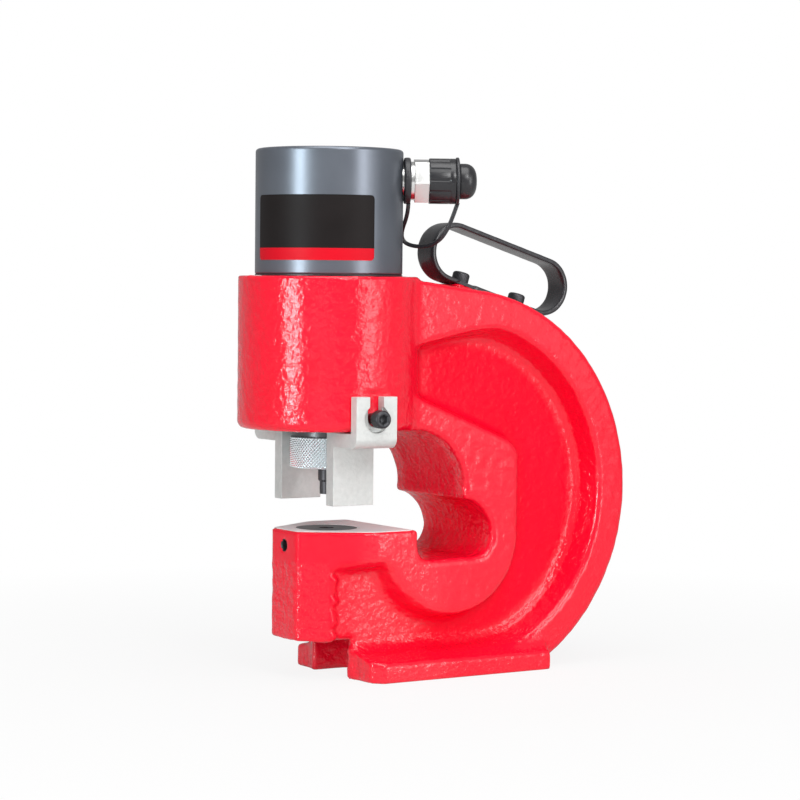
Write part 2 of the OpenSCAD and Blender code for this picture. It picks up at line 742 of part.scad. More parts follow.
module die() color("darkslategray") place() translate([0, 0, die_z]) difference() {
    cylinder(die_h, d = die_d);
    translate([0, 0, -cut]) cylinder(die_h + 2 * cut, d = die_hole_d);
    translate([0, 0, -cut]) cylinder(die_h - die_land + cut, d = die_relief_d);
}

module die_set_screw() color("dimgray") place() translate([0, 0, anvil_z - set_screw_drop])
    rotate([0, -90, 0]) translate([0, 0, die_d / 2 + free_gap]) difference() {
        cylinder(set_screw_l, d = set_screw_d);
        translate([0, 0, set_screw_l / 2]) cylinder(set_screw_l, d = set_screw_d / 2 / cos(30), $fn = 6);
    }

// Strippers

module stripper_profile() {
    outer_y = ear_y + ear_t;
    leg_z = anvil_z + strip_gap;
    translate([leg_y, leg_z]) square([leg_t, shelf_z - leg_z + cut]);
    translate([leg_y, shelf_z]) square([outer_y - bend_r - leg_y, shelf_t]);
    intersection() {
        translate([outer_y - bend_r, shelf_z + bend_r]) circle(bend_r);
        translate([outer_y - bend_r, shelf_z]) square(bend_r);
    }
    translate([ear_y, shelf_z + bend_r]) square([ear_t, ear_h - bend_r]);
}

module stripper() translate([-stripper_shift, 0, 0]) difference() {
    rotate([90, 0, 90]) linear_extrude(stripper_w, center = true) stripper_profile();
    translate([0, 0, ear_screw_height]) rotate([-90, 0, 0]) {
        translate([0, 0, ear_y - cut]) cylinder(ear_t + 2 * cut, d = ear_slot_w);
        translate([0, 0, ear_y + ear_t - ear_recess_depth]) cylinder(ear_t, d = ear_recess_d);
    }
    translate([-ear_slot_w / 2, ear_y - cut, ear_screw_height]) cube([ear_slot_w, ear_t + 2 * cut, ear_h]);
}

module stripper_near() color("gainsboro") place() mirror([0, 1, 0]) stripper();
module stripper_far() color("gainsboro") place() stripper();

module stripper_screws() color("dimgray") place() for (side = [-1, 1])
    translate([-stripper_shift, side * screw_seat_y, ear_screw_height]) rotate([-90 * side, 0, 0])
        socket_screw(screw_seat_y - flat_y + screw_grip - free_gap);

// Quick coupler and its dust cap

module coupler_nipple() color("silver") place() along_port() difference() {
    union() {
        translate([0, 0, spot_r - port_thread_l + free_gap])
            cylinder(port_thread_l + port_seal_h, d = port_thread_d);
        translate([0, 0, spot_r + port_seal_h])
            cylinder(shoulder_r - spot_r - port_seal_h + cut, d = neck_d);
        translate([0, 0, shoulder_r]) cylinder(shoulder_l + cut, d = shoulder_d);
        translate([0, 0, hex_r]) rotate(hex_turn) cylinder(hex_l, d = hex_af / cos(30), $fn = 6);
        translate([0, 0, nose_r - cut]) cylinder(coupler_nose_l + cut, d = coupler_nose_d);
    }
    cylinder(nose_end + cut, d = coupler_mouth_d);
    translate([0, 0, poppet_seat_r])
        cylinder(nose_end - poppet_seat_r - coupler_mouth_t, d = coupler_bore_d);
}

module coupler_seal() color("black") place() along_port() translate([0, 0, spot_r])
    ring(neck_d, port_thread_d + 2 * seat_clear, port_seal_h);

module coupler_poppet() color("gold") place() along_port() {
    translate([0, 0, poppet_r]) cylinder(poppet_l, d = coupler_bore_d - 2 * run_clear);
    translate([0, 0, poppet_r + poppet_l - cut])
        cylinder(coupler_mouth_t + cut, d = coupler_mouth_d - 2 * run_clear);
}

module coupler_poppet_spring() color("silver") place() along_port()
    translate([0, 0, poppet_seat_r + free_gap])
        coil(coupler_bore_d - 2 * poppet_wire, poppet_wire, poppet_spring_l, poppet_turns);

module dust_cap() color("black") place() along_port() {
    difference() {
        translate([0, 0, cap_r]) cylinder(cap_l, d = cap_d);
        translate([0, 0, cap_r - cut])
            cylinder(nose_end - cap_r + cut + free_gap, d = coupler_nose_d + 2 * run_clear);
        for (i = [0:cap_grooves - 1]) rotate(360 * i / cap_grooves)
            translate([cap_d / 2 + cap_groove_w / 4, 0, cap_r - cut])
                cylinder(cap_groove_l + cut, d = cap_groove_w);
    }
    translate([0, 0, cap_r + cap_l - cut]) cylinder(tether_ring_t + 2 * cut, d = neck_d);
    translate([0, 0, knob_r]) rounded_drum(cap_knob_d, cap_knob_l, cap_rim_r, cap_knob_r);
}

// The tether: a ring round the neck, a ring behind the knob and the cord between them

module tether_ring(r, d) place() along_port() translate([0, 0, r])
    ring(d, neck_d + 2 * seat_clear, tether_ring_t);

module neck_ring() color("black") tether_ring(shoulder_r - tether_ring_t, neck_ring_d);
module cap_ring() color("black") tether_ring(cap_r + cap_l, cap_ring_d);

tether_sides = 8;

function tether_point(p) = [
    p[0] * cos(port_angle) - p[1] * sin(port_angle), p[0] * sin(port_angle) + p[1] * cos(port_angle), p[2]
];
function unit(v) = v / norm(v);
function tether_dir(i) = unit(
    tether_point(tether_route[min(i + 1, len(tether_route) - 1)]) - tether_point(tether_route[max(i - 1, 0)])
);
function tether_ring_points(i) =
    let (t = tether_dir(i), side = tether_point([0, 1, 0]), u = unit(cross(side, t)), v = cross(t, u))
    [for (k = [0:tether_sides - 1]) tether_point(tether_route[i])
        + tether_d / 2 * (u * cos(360 * k / tether_sides) + v * sin(360 * k / tether_sides))];

module cap_tether() color("black") place() polyhedron(
    [for (i = [0:len(tether_route) - 1]) each tether_ring_points(i)],
    tube_faces(len(tether_route), tether_sides)
);

// Handle

// A strip bent to the handle's loop, open between its two ends
module handle_strip(inset, thickness, width) rotate([90, 0, 0])
    linear_extrude(width, center = true) difference() {
        translate([0, inset]) stadium(handle_l - 2 * inset, handle_h - 2 * inset);
        translate([0, inset + thickness])
            stadium(handle_l - 2 * (inset + thickness), handle_h - 2 * (inset + thickness));
        translate([-strap_gap / 2 - inset, -cut]) square([strap_gap + 2 * inset, handle_h / 2]);
    }

module handle_strap() color("dimgray") place() on_handle() difference() {
    handle_strip(cover_t, strap_t, strap_w);
    for (side = [-1, 1]) translate([side * handle_screw_pitch / 2, 0, -cut])
        cylinder(handle_h / 2, d = screw_d + 2 * hole_clear);
}

module handle_rubber() color("black") place() on_handle() difference() {
    handle_strip(0, strap_t + 2 * cover_t, strap_w + 2 * cover_t);
    handle_strip(cover_t - seat_clear, strap_t + 2 * seat_clear, strap_w + 2 * seat_clear);
    for (side = [-1, 1]) translate([side * handle_screw_pitch / 2, 0, 0]) {
        translate([0, 0, -cut]) cylinder(handle_h / 2, d = screw_d + 2 * hole_clear);
        translate([0, 0, cover_t + strap_t / 2]) cylinder(handle_h / 2, d = screw_head_d + 2 * hole_clear);
    }
}

module handle_screws() color("dimgray") place() on_handle() for (side = [-1, 1])
    translate([side * handle_screw_pitch / 2, 0, cover_t + strap_t])
        socket_screw(cover_t + strap_t + screw_grip - free_gap);

casting_body();
cylinder_body();  // cylinder
cylinder_o_ring();
piston_ram();
piston_seal();
piston_backup_ring();
piston_guide_ring();
return_spring();
rod_guide_bush();
rod_wiper();
punch();
punch_nut();
die();
die_set_screw();
stripper_near();
stripper_far();
stripper_screws();
coupler_nipple();
coupler_seal();
coupler_poppet();
coupler_poppet_spring();
dust_cap();
neck_ring();
cap_ring();
cap_tether();
handle_strap();
handle_rubber();
handle_screws();
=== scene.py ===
# %% [markdown]
# # A hydraulic hole punch, dressed round its CAD frame
# The tool is a cast C-frame with an oil cylinder screwed into its top. Oil drives the ram down, and the
# punch on the ram shears a hole over the die in the lower jaw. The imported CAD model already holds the
# exact sizes and the joints. All of it could be modelled again by hand, but the two models would then
# drift apart, so this lesson loads the CAD frame and adds what it leaves out: cast skin, knurling,
# rubber, paint and light.

# %% Load the frame
import math

import bmesh
import bpy
import numpy as np
from mathutils import Matrix, Vector


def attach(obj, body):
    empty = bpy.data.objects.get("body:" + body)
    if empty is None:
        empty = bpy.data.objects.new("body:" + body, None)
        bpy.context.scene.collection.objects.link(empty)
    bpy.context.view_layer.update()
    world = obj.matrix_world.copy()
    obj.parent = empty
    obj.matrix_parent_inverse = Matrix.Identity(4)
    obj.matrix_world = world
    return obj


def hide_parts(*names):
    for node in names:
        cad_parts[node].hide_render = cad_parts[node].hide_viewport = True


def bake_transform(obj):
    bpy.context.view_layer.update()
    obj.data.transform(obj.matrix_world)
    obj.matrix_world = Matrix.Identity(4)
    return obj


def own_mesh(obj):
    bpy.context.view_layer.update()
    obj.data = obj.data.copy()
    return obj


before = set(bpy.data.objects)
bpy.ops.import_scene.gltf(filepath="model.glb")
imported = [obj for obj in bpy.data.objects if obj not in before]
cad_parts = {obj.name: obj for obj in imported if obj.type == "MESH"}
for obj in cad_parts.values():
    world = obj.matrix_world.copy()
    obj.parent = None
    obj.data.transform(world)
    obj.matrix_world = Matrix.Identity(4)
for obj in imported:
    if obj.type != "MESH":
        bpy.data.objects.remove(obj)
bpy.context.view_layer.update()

# %% [markdown]
# ## The camera
# The photograph was taken from the nose side, a little above the middle of the tool, with a long lens
# that keeps upright edges nearly parallel. A camera could be aimed with a Track To constraint. Here its
# matrix is built from three unit directions (right, up and back) and a place, because that also gives it
# the small roll of about half a degree that the photograph has.

# %% Camera
AXIS_X = -0.0865
CAMERA_AT = Vector((-0.9513 + AXIS_X, -1.5708, 0.2867))
LOOKS_AT = Vector((0.0633 + AXIS_X, 0, 0.20183))
ROLL = math.radians(0.57)
LENS_MM = 112.69
SENSOR_MM = 36

camera = bpy.data.objects.new("camera", bpy.data.cameras.new("camera"))
bpy.context.scene.collection.objects.link(camera)
bpy.context.scene.camera = camera
camera.data.lens = LENS_MM
camera.data.sensor_width = SENSOR_MM
back = (CAMERA_AT - LOOKS_AT).normalized()
level = Vector((0, 0, 1)).cross(back).normalized()
right = level * math.cos(ROLL) + back.cross(level) * math.sin(ROLL)
up = back.cross(right)
camera.matrix_world = Matrix.Translation(CAMERA_AT) @ Matrix((right, up, back)).transposed().to_4x4()
print("camera at", [round(v, 3) for v in CAMERA_AT])

# %% [markdown]
# ## Building meshes from arrays
# Every new piece of the tool is an array of points and an array of faces. Meshes could be built point by
# point with bmesh, but handing whole arrays to foreach_set is quicker and keeps each formula readable.
# The helpers also merge points that fall together at a pole, and tie each piece to the CAD body that
# carries it. Sizes are written in millimetres about the punch axis, and become metres here.

# %% Mesh helpers
MERGE_M = 1e-7


def merge_doubles(mesh, flat_angle=0.0):
    """Merges points that fall together, then joins faces whose directions differ by less than an angle."""
    soup = bmesh.new()
    soup.from_mesh(mesh)
    bmesh.ops.remove_doubles(soup, verts=soup.verts, dist=MERGE_M)
    if flat_angle:
        bmesh.ops.dissolve_limit(soup, angle_limit=flat_angle, verts=soup.verts, edges=soup.edges)
    soup.to_mesh(mesh)
    soup.free()


def tie(made, body, stands_for=()):
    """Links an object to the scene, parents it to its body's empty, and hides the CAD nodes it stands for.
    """
    bpy.context.scene.collection.objects.link(made)
    if body:
        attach(made, body)
    if stands_for:
        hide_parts(*stands_for)


print("points closer than", MERGE_M, "m are merged")

# %% Piece maker
def piece(name, points, faces, material, body, stands_for=(), smooth=True):
    """An object from points (n, 3) in mm about the punch axis and faces (m, 3 or 4) of point numbers."""
    mesh = bpy.data.meshes.new(name)
    co = np.asarray(points, np.float64) / 1000 + (AXIS_X, 0, 0)
    faces = np.asarray(faces, np.int32)
    mesh.vertices.add(len(co))
    mesh.vertices.foreach_set("co", co.astype(np.float32).ravel())
    mesh.loops.add(faces.size)
    mesh.loops.foreach_set("vertex_index", faces.ravel())
    mesh.polygons.add(len(faces))
    mesh.polygons.foreach_set("loop_start", np.arange(0, faces.size, faces.shape[1], dtype=np.int32))
    mesh.update(calc_edges=True)
    merge_doubles(mesh)
    if smooth:
        mesh.shade_smooth()
    else:
        mesh.shade_flat()
    mesh.materials.append(material)
    made = bpy.data.objects.new(name, mesh)
    tie(made, body, stands_for)
    print(f"{name}: {len(co)} points, {len(faces)} faces")
    return made


def thicken(made, thickness):
    """Gives a sheet a thickness in metres, all of it below the sheet."""
    sheet = made.modifiers.new("thickness", "SOLIDIFY")
    sheet.thickness = thickness
    sheet.offset = -1

# %% [markdown]
# ## Materials
# The tool mixes glossy paint, plated and blackened steel, rubber and plastic, and none of them is one
# flat colour. Pictures could be wrapped round the pieces, but a small graph of shader nodes needs no
# unwrapping and stays sharp from any distance. Each finish starts from a Principled shader. A noise
# measured in the object's own metres breaks up its colour and roughness, and a finer one feeds a Bump
# node where it is rough.

# %% Finish helper
MIX_A, MIX_B, MIX_RESULT = 6, 7, 2


def node(tree, kind, settings=None, inputs=None):
    """Adds a shader node, and sets its properties by name and its inputs by name or number."""
    made = tree.nodes.new("ShaderNode" + kind)
    for name, value in (settings or {}).items():
        setattr(made, name, value)
    for name, value in (inputs or {}).items():
        made.inputs[name].default_value = value
    return made


def finish_of(name, color, other, roughness, metallic=0.0, scale=60.0,
              bump=0.0, bump_scale=200.0, spread=0.08):
    """A Principled material whose colour wanders between two colours, and its roughness by a spread."""
    material = bpy.data.materials.new(name)
    material.use_nodes = True
    tree = material.node_tree
    shader = tree.nodes["Principled BSDF"]
    shader.inputs["Metallic"].default_value = metallic
    where = node(tree, "TexCoord")
    noise = node(tree, "TexNoise", inputs={"Scale": scale, "Detail": 4})
    tree.links.new(where.outputs["Object"], noise.inputs["Vector"])
    mix = node(tree, "Mix", {"data_type": "RGBA"}, {MIX_A: (*color, 1), MIX_B: (*other, 1)})
    tree.links.new(noise.outputs["Fac"], mix.inputs[0])
    tree.links.new(mix.outputs[MIX_RESULT], shader.inputs["Base Color"])
    smoothest, roughest = max(roughness - spread, 0.02), roughness + spread
    rough = node(tree, "MapRange", inputs={"To Min": smoothest, "To Max": roughest})
    tree.links.new(noise.outputs["Fac"], rough.inputs["Value"])
    tree.links.new(rough.outputs["Result"], shader.inputs["Roughness"])
    if bump:
        grain = node(tree, "TexNoise", inputs={"Scale": bump_scale, "Detail": 3})
        tree.links.new(where.outputs["Object"], grain.inputs["Vector"])
        dent = node(tree, "Bump", inputs={"Distance": bump, "Strength": 1})
        tree.links.new(grain.outputs["Fac"], dent.inputs["Height"])
        tree.links.new(dent.outputs["Normal"], shader.inputs["Normal"])
    return material


print("a Mix node takes its colours at inputs", MIX_A, "and", MIX_B)

# %% [markdown]
# The finishes themselves are one line each: two colours, a roughness, how metallic it is, and the scales
# of the noises. They could be tuned in the shader editor, but as a list they are easy to compare. Paint
# and rubber are not metallic, plated steel is, and blackened or painted steel lies in between. The anvil's
# bare steel is pale and hardly metallic, as a painted reflection.

# %% Finishes
PAINT_BUMP = 0.0007

red_paint = finish_of(
    "red_paint", (0.84, 0.002, 0.02), (0.9, 0.004, 0.03), 0.16, 0, 25, PAINT_BUMP, 240, 0.05)
grey_cylinder = finish_of("grey_cylinder", (0.125, 0.14, 0.168), (0.165, 0.183, 0.213), 0.35, 0.65, 30)
black_rubber = finish_of(
    "black_rubber", (0.016, 0.016, 0.019), (0.03, 0.03, 0.034), 0.38, 0, 80, 0.0003, 700)
black_vinyl = finish_of(
    "black_vinyl", (0.018, 0.018, 0.021), (0.032, 0.032, 0.037), 0.24, 0, 60, 0.0002, 300)
black_steel = finish_of("black_steel", (0.03, 0.03, 0.034), (0.06, 0.06, 0.066), 0.36, 0.6, 120)
black_plastic = finish_of("black_plastic", (0.012, 0.012, 0.014), (0.022, 0.022, 0.025), 0.3, 0, 100)
tool_steel = finish_of("tool_steel", (0.05, 0.048, 0.052), (0.09, 0.086, 0.092), 0.4, 0.7, 90)
zinc_plate = finish_of("zinc_plate", (0.5, 0.515, 0.505), (0.67, 0.68, 0.665), 0.45, 0.2, 260, 0.0003, 420)
bright_plate = finish_of("bright_plate", (0.7, 0.7, 0.69), (0.8, 0.8, 0.79), 0.22, 1.0, 90)
knurl_steel = finish_of("knurl_steel", (0.83, 0.9, 0.93), (0.93, 0.98, 1.0), 0.24, 0.8, 200)
# The anvil's milled steel is pale and hardly metallic: its colour is a painted reflection of the white
# surroundings.
bare_steel_painted_reflection = finish_of("bare_steel_painted_reflection", (0.88, 0.85, 0.86), (0.95, 0.92, 0.93), 0.45, 0.05, 160)
# The ram's chromed steel gets a dark colour as painted shade for the shaded gap between the collar and the
# nut.
ram_steel = finish_of("ram_steel", (0.1, 0.1, 0.105), (0.15, 0.15, 0.155), 0.36, 1.0, 60)
bronze = finish_of("bronze", (0.4, 0.24, 0.09), (0.5, 0.3, 0.12), 0.35, 1.0, 90)
cream_plastic = finish_of("cream_plastic", (0.6, 0.52, 0.36), (0.68, 0.6, 0.43), 0.5, 0, 90)
print("materials:", len(bpy.data.materials))

# %% [markdown]
# ## Dressing the CAD nodes
# The cylinder, the ram with its rings, the die and the handle's strap are plain turned, ground or bent
# parts, so their CAD meshes are right as they are. They could be rebuilt here, but that would only repeat
# the CAD. So each node just gets its finish in its material slot. A node that a later step replaces gets
# one too, because the copies below take their finish from it, and no node is ever left bare.

# %% Dress the CAD nodes
DRESS = {
    "cylinder": grey_cylinder, "cylinder_o_ring": black_rubber, "piston_ram": ram_steel,
    "piston_seal": black_rubber, "piston_backup_ring": cream_plastic, "piston_guide_ring": cream_plastic,
    "return_spring": ram_steel, "rod_guide_bush": bronze, "rod_wiper": black_rubber, "punch": tool_steel,
    "punch_nut": zinc_plate, "die": tool_steel, "die_set_screw": black_steel, "stripper_near": zinc_plate,
    "stripper_far": zinc_plate, "stripper_screws": black_steel, "coupler_nipple": bright_plate,
    "coupler_seal": black_rubber, "coupler_poppet": bronze, "coupler_poppet_spring": ram_steel,
    "dust_cap": black_plastic, "neck_ring": black_rubber, "cap_ring": black_rubber,
    "cap_tether": black_rubber, "handle_strap": black_steel, "handle_rubber": black_rubber,
    "handle_screws": black_steel, "casting_body": red_paint,
}
for name, material in DRESS.items():
    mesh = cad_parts[name].data
    mesh.materials.clear()
    mesh.materials.append(material)
print("dressed:", len(DRESS))

# %% [markdown]
# ## Worn edges
# The stripper plates hold the work down while the punch is drawn out of it, and the coupler takes the
# hose. Both are plated steel whose edges were broken with a file, and such edges catch the light. They
# could be rounded in CAD, at the price of many small faces. A Bevel modifier does it here, but it needs
# faces that share their edges, and a CAD mesh is loose triangles. So it works on a copy whose points are
# merged first.

# %% Worn copies
def merged_copy(name, cad_node, body, flat_angle=0.0):
    """A smooth copy of a CAD node with its points merged, which stands for that node."""
    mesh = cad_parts[cad_node].data.copy()
    merge_doubles(mesh, flat_angle)
    mesh.shade_smooth()
    made = bpy.data.objects.new(name, mesh)
    tie(made, body, [cad_node])
    return made


def worn_copy(name, cad_node, body, width):
    """A merged copy of a CAD node, with every edge of more than 40 degrees rounded over a width in mm."""
    made = merged_copy(name, cad_node, body, math.radians(0.5))
    made.data.set_sharp_from_angle(angle=math.radians(30))
    bevel = made.modifiers.new("worn edges", "BEVEL")
    bevel.width = width / 1000
    bevel.segments = 2
    bevel.limit_method = "ANGLE"
    bevel.angle_limit = math.radians(40)
    bevel.harden_normals = True
    print(name, len(made.data.polygons), "faces")


worn_copy("near_stripper_plate", "stripper_near", "stripper_a", 0.9)
worn_copy("far_stripper_plate", "stripper_far", "stripper_b", 0.9)
worn_copy("coupler_body", "coupler_nipple", "frame", 0.4)

# %% [markdown]
# ## The casting as a distance field
# The frame is cast in sand, so it has no sharp edges: every corner is rounded, and walls meet in fillets.
# It could be made of boxes and cylinders with booleans and bevels, but bevels fail where many edges meet.
# A signed distance field makes it easy. For each point in space it tells how far away the surface is,
# negative inside. The larger of two distances cuts, the smaller joins, and the versions below round the
# edge.

# %% Rounded cuts and joins
def cut(a, b, r=0.0):
    """What lies inside both a and b; the edge between them is rounded to radius r."""
    return np.minimum(np.maximum(a, b), -r) + np.hypot(np.maximum(a + r, 0), np.maximum(b + r, 0))


def join(a, b, r=0.0):
    """What lies inside a or b, with a fillet of radius r between them."""
    return -cut(-a, -b, r)


def soft_cut(a, b, width):
    """Like cut, for faces that meet at a blunt angle: they melt into each other over a width."""
    h = np.clip(0.5 + 0.5 * (b - a) / width, 0, 1)
    return a + (b - a) * h + width * h * (1 - h)


def tilted(x, z, at_x, at_z, angle):
    """Coordinates along and square to a line through (at_x, at_z) that falls by an angle in degrees."""
    c, s = math.cos(math.radians(angle)), math.sin(math.radians(angle))
    return (x - at_x) * c - (z - at_z) * s, (x - at_x) * s + (z - at_z) * c


def disc(x, z, circle):
    """Distance from a circle, given by the x and z of its middle and its radius."""
    return np.hypot(x - circle[0], z - circle[1]) - circle[2]


print("a corner rounded to 2 mm moves in by", round(float(cut(np.array(0.0), np.array(0.0), 2)), 2), "mm")

# %% [markdown]
# The side view is drawn first, as a pattern maker would draw it. The round back and the sloping arm carry
# the load from the collar to the jaw, the throat has two lobes so that the flange of a beam passes, and a
# boss round the throat keeps its full width. Traced curves would do too, but circles and straight lines
# have distances that are one line each.

# %% Side-view outlines
# Circles: x and z of the middle, and the radius
BACK = (89, 135, 150)
UPPER_LOBE = (46, 137, 45)
LOWER_LOBE = (87, 102, 28.5)
RELIEF_LOBE = (99, 103, 16.5)
BOSS = (81, 103, 57)
# Lines: x and z of a point, and the angle by which it falls
ARM_TOP = (107.3, 283.9, 7)
BOSS_TOP = (138, 169, 22)
ARM_FOOT, LOWER_FRONT = 145, 22.7
RELIEF_FRONT, RELIEF_FLOOR = 49.5, 86.5
BAND_FOOT, BAND_HEAD = 85.5, 115
ANVIL_Z = 109


def back_outline(x, z):
    """A disc, with a straight top edge that leaves it tangentially and rises towards the collar."""
    along, above = tilted(x, z, *ARM_TOP)
    shape = np.where((along < 0) & (z > BACK[1]), above, disc(x, z, BACK))
    return np.maximum(shape, np.where(z > ARM_FOOT, -x, LOWER_FRONT - x))


def throat_outline(x, z):
    """An upper lobe open to the front, joined to a lower lobe with a relief behind the anvil."""
    open_front = np.maximum(x - UPPER_LOBE[0], z - UPPER_LOBE[1] - UPPER_LOBE[2])
    upper = np.maximum(np.minimum(disc(x, z, UPPER_LOBE), open_front), ANVIL_Z - z)
    lower = np.maximum(disc(x, z, LOWER_LOBE), RELIEF_LOBE[1] - z)
    lower = np.minimum(lower, disc(x, z, RELIEF_LOBE))
    relief = cut(RELIEF_FRONT - x, RELIEF_FLOOR - z, 10)
    relief = np.maximum(relief, np.maximum(x - RELIEF_LOBE[0], z - ANVIL_Z - 3))
    return join(upper, np.minimum(lower, relief), 3)


def boss_outline(x, z):
    """A round boss below, a corner with a sloping top above, and the band under the anvil."""
    slope = tilted(x, z, *BOSS_TOP)[1]
    corner = np.maximum(cut(slope, x - BOSS_TOP[0], 9), BOSS[1] - z)
    band = np.maximum(np.maximum(BAND_FOOT - z, z - BAND_HEAD), x - BOSS[0])
    return join(np.minimum(disc(x, z, BOSS), corner), band, 9)


print("throat depth", LOWER_LOBE[0] + LOWER_LOBE[2], "mm")

# %% [markdown]
# The outlines become a solid when planes across the frame cut them. The side pockets save weight and
# leave an I-section. They could be extruded straight, but their walls lean inwards with depth, as they
# must for the pattern to leave the sand, and the front edge of the jaw's pocket came out wavy.

# %% Blank and pockets
FRAME_HALF = 48.5
WEB_HALF = 28
RIM_W = 24
JAW_FRONT, JAW_BACK, JAW_FLOOR = -36, 58, 28.5
POCKET_TOP = (48.5, 244.5, -12.5)
POCKET_FRONT, JAW_POCKET_FRONT = 34, -11


def blank(x, w, z):
    """The back cut to the frame's width and joined to the jaw, which has a flat front and two facets."""
    slab = cut(back_outline(x, z), w - FRAME_HALF, 4)
    facet = (w - 18.5) * 0.848 - (x - JAW_FRONT) * 0.53
    plan = soft_cut(soft_cut(facet, w - FRAME_HALF, 5.8), JAW_FRONT - x, 3)
    jaw = cut(cut(np.maximum(plan, x - JAW_BACK), z - ANVIL_Z, 1.5), JAW_FLOOR - z, 3)
    return np.minimum(slab, jaw)


def pocket(x, w, z):
    """The space between rim, arm, front and boss, down to the web; all four walls lean in with depth."""
    lean = np.clip((FRAME_HALF - w) / (FRAME_HALF - WEB_HALF), 0, 1)
    reach = np.where((x < BACK[0]) & (z < BACK[1]), 0, x - BACK[0])
    wall = np.hypot(reach, z - BACK[1]) - (BACK[2] - RIM_W) + 8 * lean
    top = tilted(x, z, *POCKET_TOP)[1] + 6 * lean
    wave = 1.2 * np.sin(z / 2.2) + 0.7 * np.sin(z / 1.3 + 1)
    front = np.where(z > BOSS[1], POCKET_FRONT - x, wave + JAW_POCKET_FRONT - x) + lean
    hollow = cut(cut(cut(wall, top, 8), front, 2), 6 * lean - boss_outline(x, z), 3)
    return cut(hollow, WEB_HALF - w, 5)


def pocket_edge(x, z):
    """The radius of the pocket's edge: 2.5 mm round the boss and the rim, growing to 6.5 mm at the jaw."""
    return 2.5 + 4 * np.clip((62 - x) / 15, 0, 1) * np.clip((92 - z) / 6, 0, 1)


print("web", 2 * WEB_HALF, "mm in a frame of", 2 * FRAME_HALF, "mm")

# %% [markdown]
# The collar holds the cylinder, the foot lets the tool stand, and the pad on the arm carries the handle.
# They could stay separate overlapping meshes, but on a casting they flow into each other, so they are
# joined to the field with fillets. The machined faces and bores come last and keep sharp edges, as a
# cutter leaves them.

# %% Foot and pad
FOOT_FRONT, FOOT_BACK, FOOT_HALF, FOOT_TOP = 6.5, 162.5, 60, 22
PAD = (140.4, 278.6, 17)
PAD_HALF_L, PAD_HALF_W, PAD_DEPTH = 38, 15, 24


def foot_rails(x, w, z):
    """Rails with tops that slope outwards and front corners cut off at 45 degrees."""
    rail = cut(np.maximum(FOOT_FRONT - x, x - FOOT_BACK), w - FOOT_HALF, 2)
    rail = cut(rail, (w - 52 - x + FOOT_FRONT) * 0.707, 2)
    return cut(rail, (z - FOOT_TOP + np.maximum(w - WEB_HALF, 0) * 0.25) * 0.97, 3)


def handle_pad(x, w, z):
    """A block on the arm, 76 by 30 mm, that falls by 17 degrees with the handle."""
    along, above = tilted(x, z, *PAD)
    block = cut(cut(np.abs(along) - PAD_HALF_L, w - PAD_HALF_W, 4), above, 1)
    return np.maximum(block, -PAD_DEPTH - above)


print("foot", FOOT_BACK - FOOT_FRONT, "by", 2 * FOOT_HALF, "mm")

# %% The casting's distance field
COLLAR_R, COLLAR_FOOT, COLLAR_TOP = 66, 182, 293.9
SLOT_HALF, SLOT_END = 23, 22.5
SEAT_Y, SEAT_TOP = 64.8, 212
SET_SCREW_R, SET_SCREW_Z = 4.05, 97.5
# Bores on the punch axis: radius, lower end, upper end
BORES = ((49.05, 229.7, 400), (30.05, 150, 400), (22.55, 89, 150), (11, -9, 100))


def casting(x, y, z):
    """Signed distance of the casting at points in mm about the punch axis."""
    w = np.abs(y)
    body = cut(blank(x, w, z), -pocket(x, w, z), pocket_edge(x, z))
    radius = np.hypot(x, y)
    collar = cut(cut(radius - COLLAR_R, z - COLLAR_TOP, 2), COLLAR_FOOT - z, 6)
    body = cut(join(body, collar, 4), z - COLLAR_TOP, 1.5)
    body = cut(body, -throat_outline(x, z), 1.5 + 2.5 * np.clip((x - 44) / 8, 0, 1))
    web = np.maximum(cut(w - WEB_HALF, FOOT_FRONT - x, 4), np.maximum(z - 80, x - BACK[0]))
    body = join(np.minimum(body, web), foot_rails(x, w, z), 8)
    slot = np.minimum(np.maximum(w - SLOT_HALF, x - SLOT_END), np.hypot(x - SLOT_END, y) - SLOT_HALF)
    body = cut(body, -np.maximum(slot, z - JAW_FLOOR), 2)
    body = join(body, handle_pad(x, w, z), 4)
    body = np.maximum(body, -np.maximum(SEAT_Y - w, z - SEAT_TOP))
    for bore, low, high in BORES:
        body = np.maximum(body, -np.maximum(radius - bore, np.maximum(low - z, z - high)))
    body = np.maximum(body, -np.maximum(np.hypot(y, z - SET_SCREW_Z) - SET_SCREW_R, x))
    return cut(body, -z, 1.5)


print("collar", 2 * COLLAR_R, "mm,", len(BORES), "bores on its axis")

# %% [markdown]
# ## From field to mesh
# A field has no faces, so it is sampled on a grid to find them. Marching cubes is the well-known way, but
# it makes many thin triangles. Surface nets are simpler and give even quads: one point in each grid cell
# that the surface crosses, and one quad across each crossed grid edge.

# %% Surface nets
def surface_net(field, low, step):
    """Points and quads of the zero surface of a field sampled from low with a step."""
    shape = np.array(field.shape) - 1
    total = np.zeros((4, shape.prod()))
    edges = []
    for axis in range(3):
        a = np.delete(field, -1, axis)
        b = np.delete(field, 0, axis)
        at = np.array(np.nonzero((a < 0) != (b < 0)))
        first, second = a[tuple(at)], b[tuple(at)]
        point = at.astype(float)
        point[axis] += first / (first - second)
        u, v = (axis + 1) % 3, (axis + 2) % 3
        keep = (at[u] > 0) & (at[v] > 0) & (at[u] < shape[u]) & (at[v] < shape[v])
        at, point, out = at[:, keep], point[:, keep], (first < 0)[keep]
        ring = []
        for du, dv in ((0, 0), (1, 0), (1, 1), (0, 1)):
            cell = at.copy()
            cell[u] -= du
            cell[v] -= dv
            number = np.ravel_multi_index(cell, shape)
            for k in range(3):
                total[k] += np.bincount(number, point[k], total.shape[1])
            total[3] += np.bincount(number, minlength=total.shape[1])
            ring.append(number)
        ring = np.array(ring).T
        edges.append(np.where(out[:, None], ring, ring[:, ::-1]))
    used = total[3] > 0
    label = np.cumsum(used) - 1
    return low + step * (total[:3, used] / total[3, used]).T, label[np.concatenate(edges)]


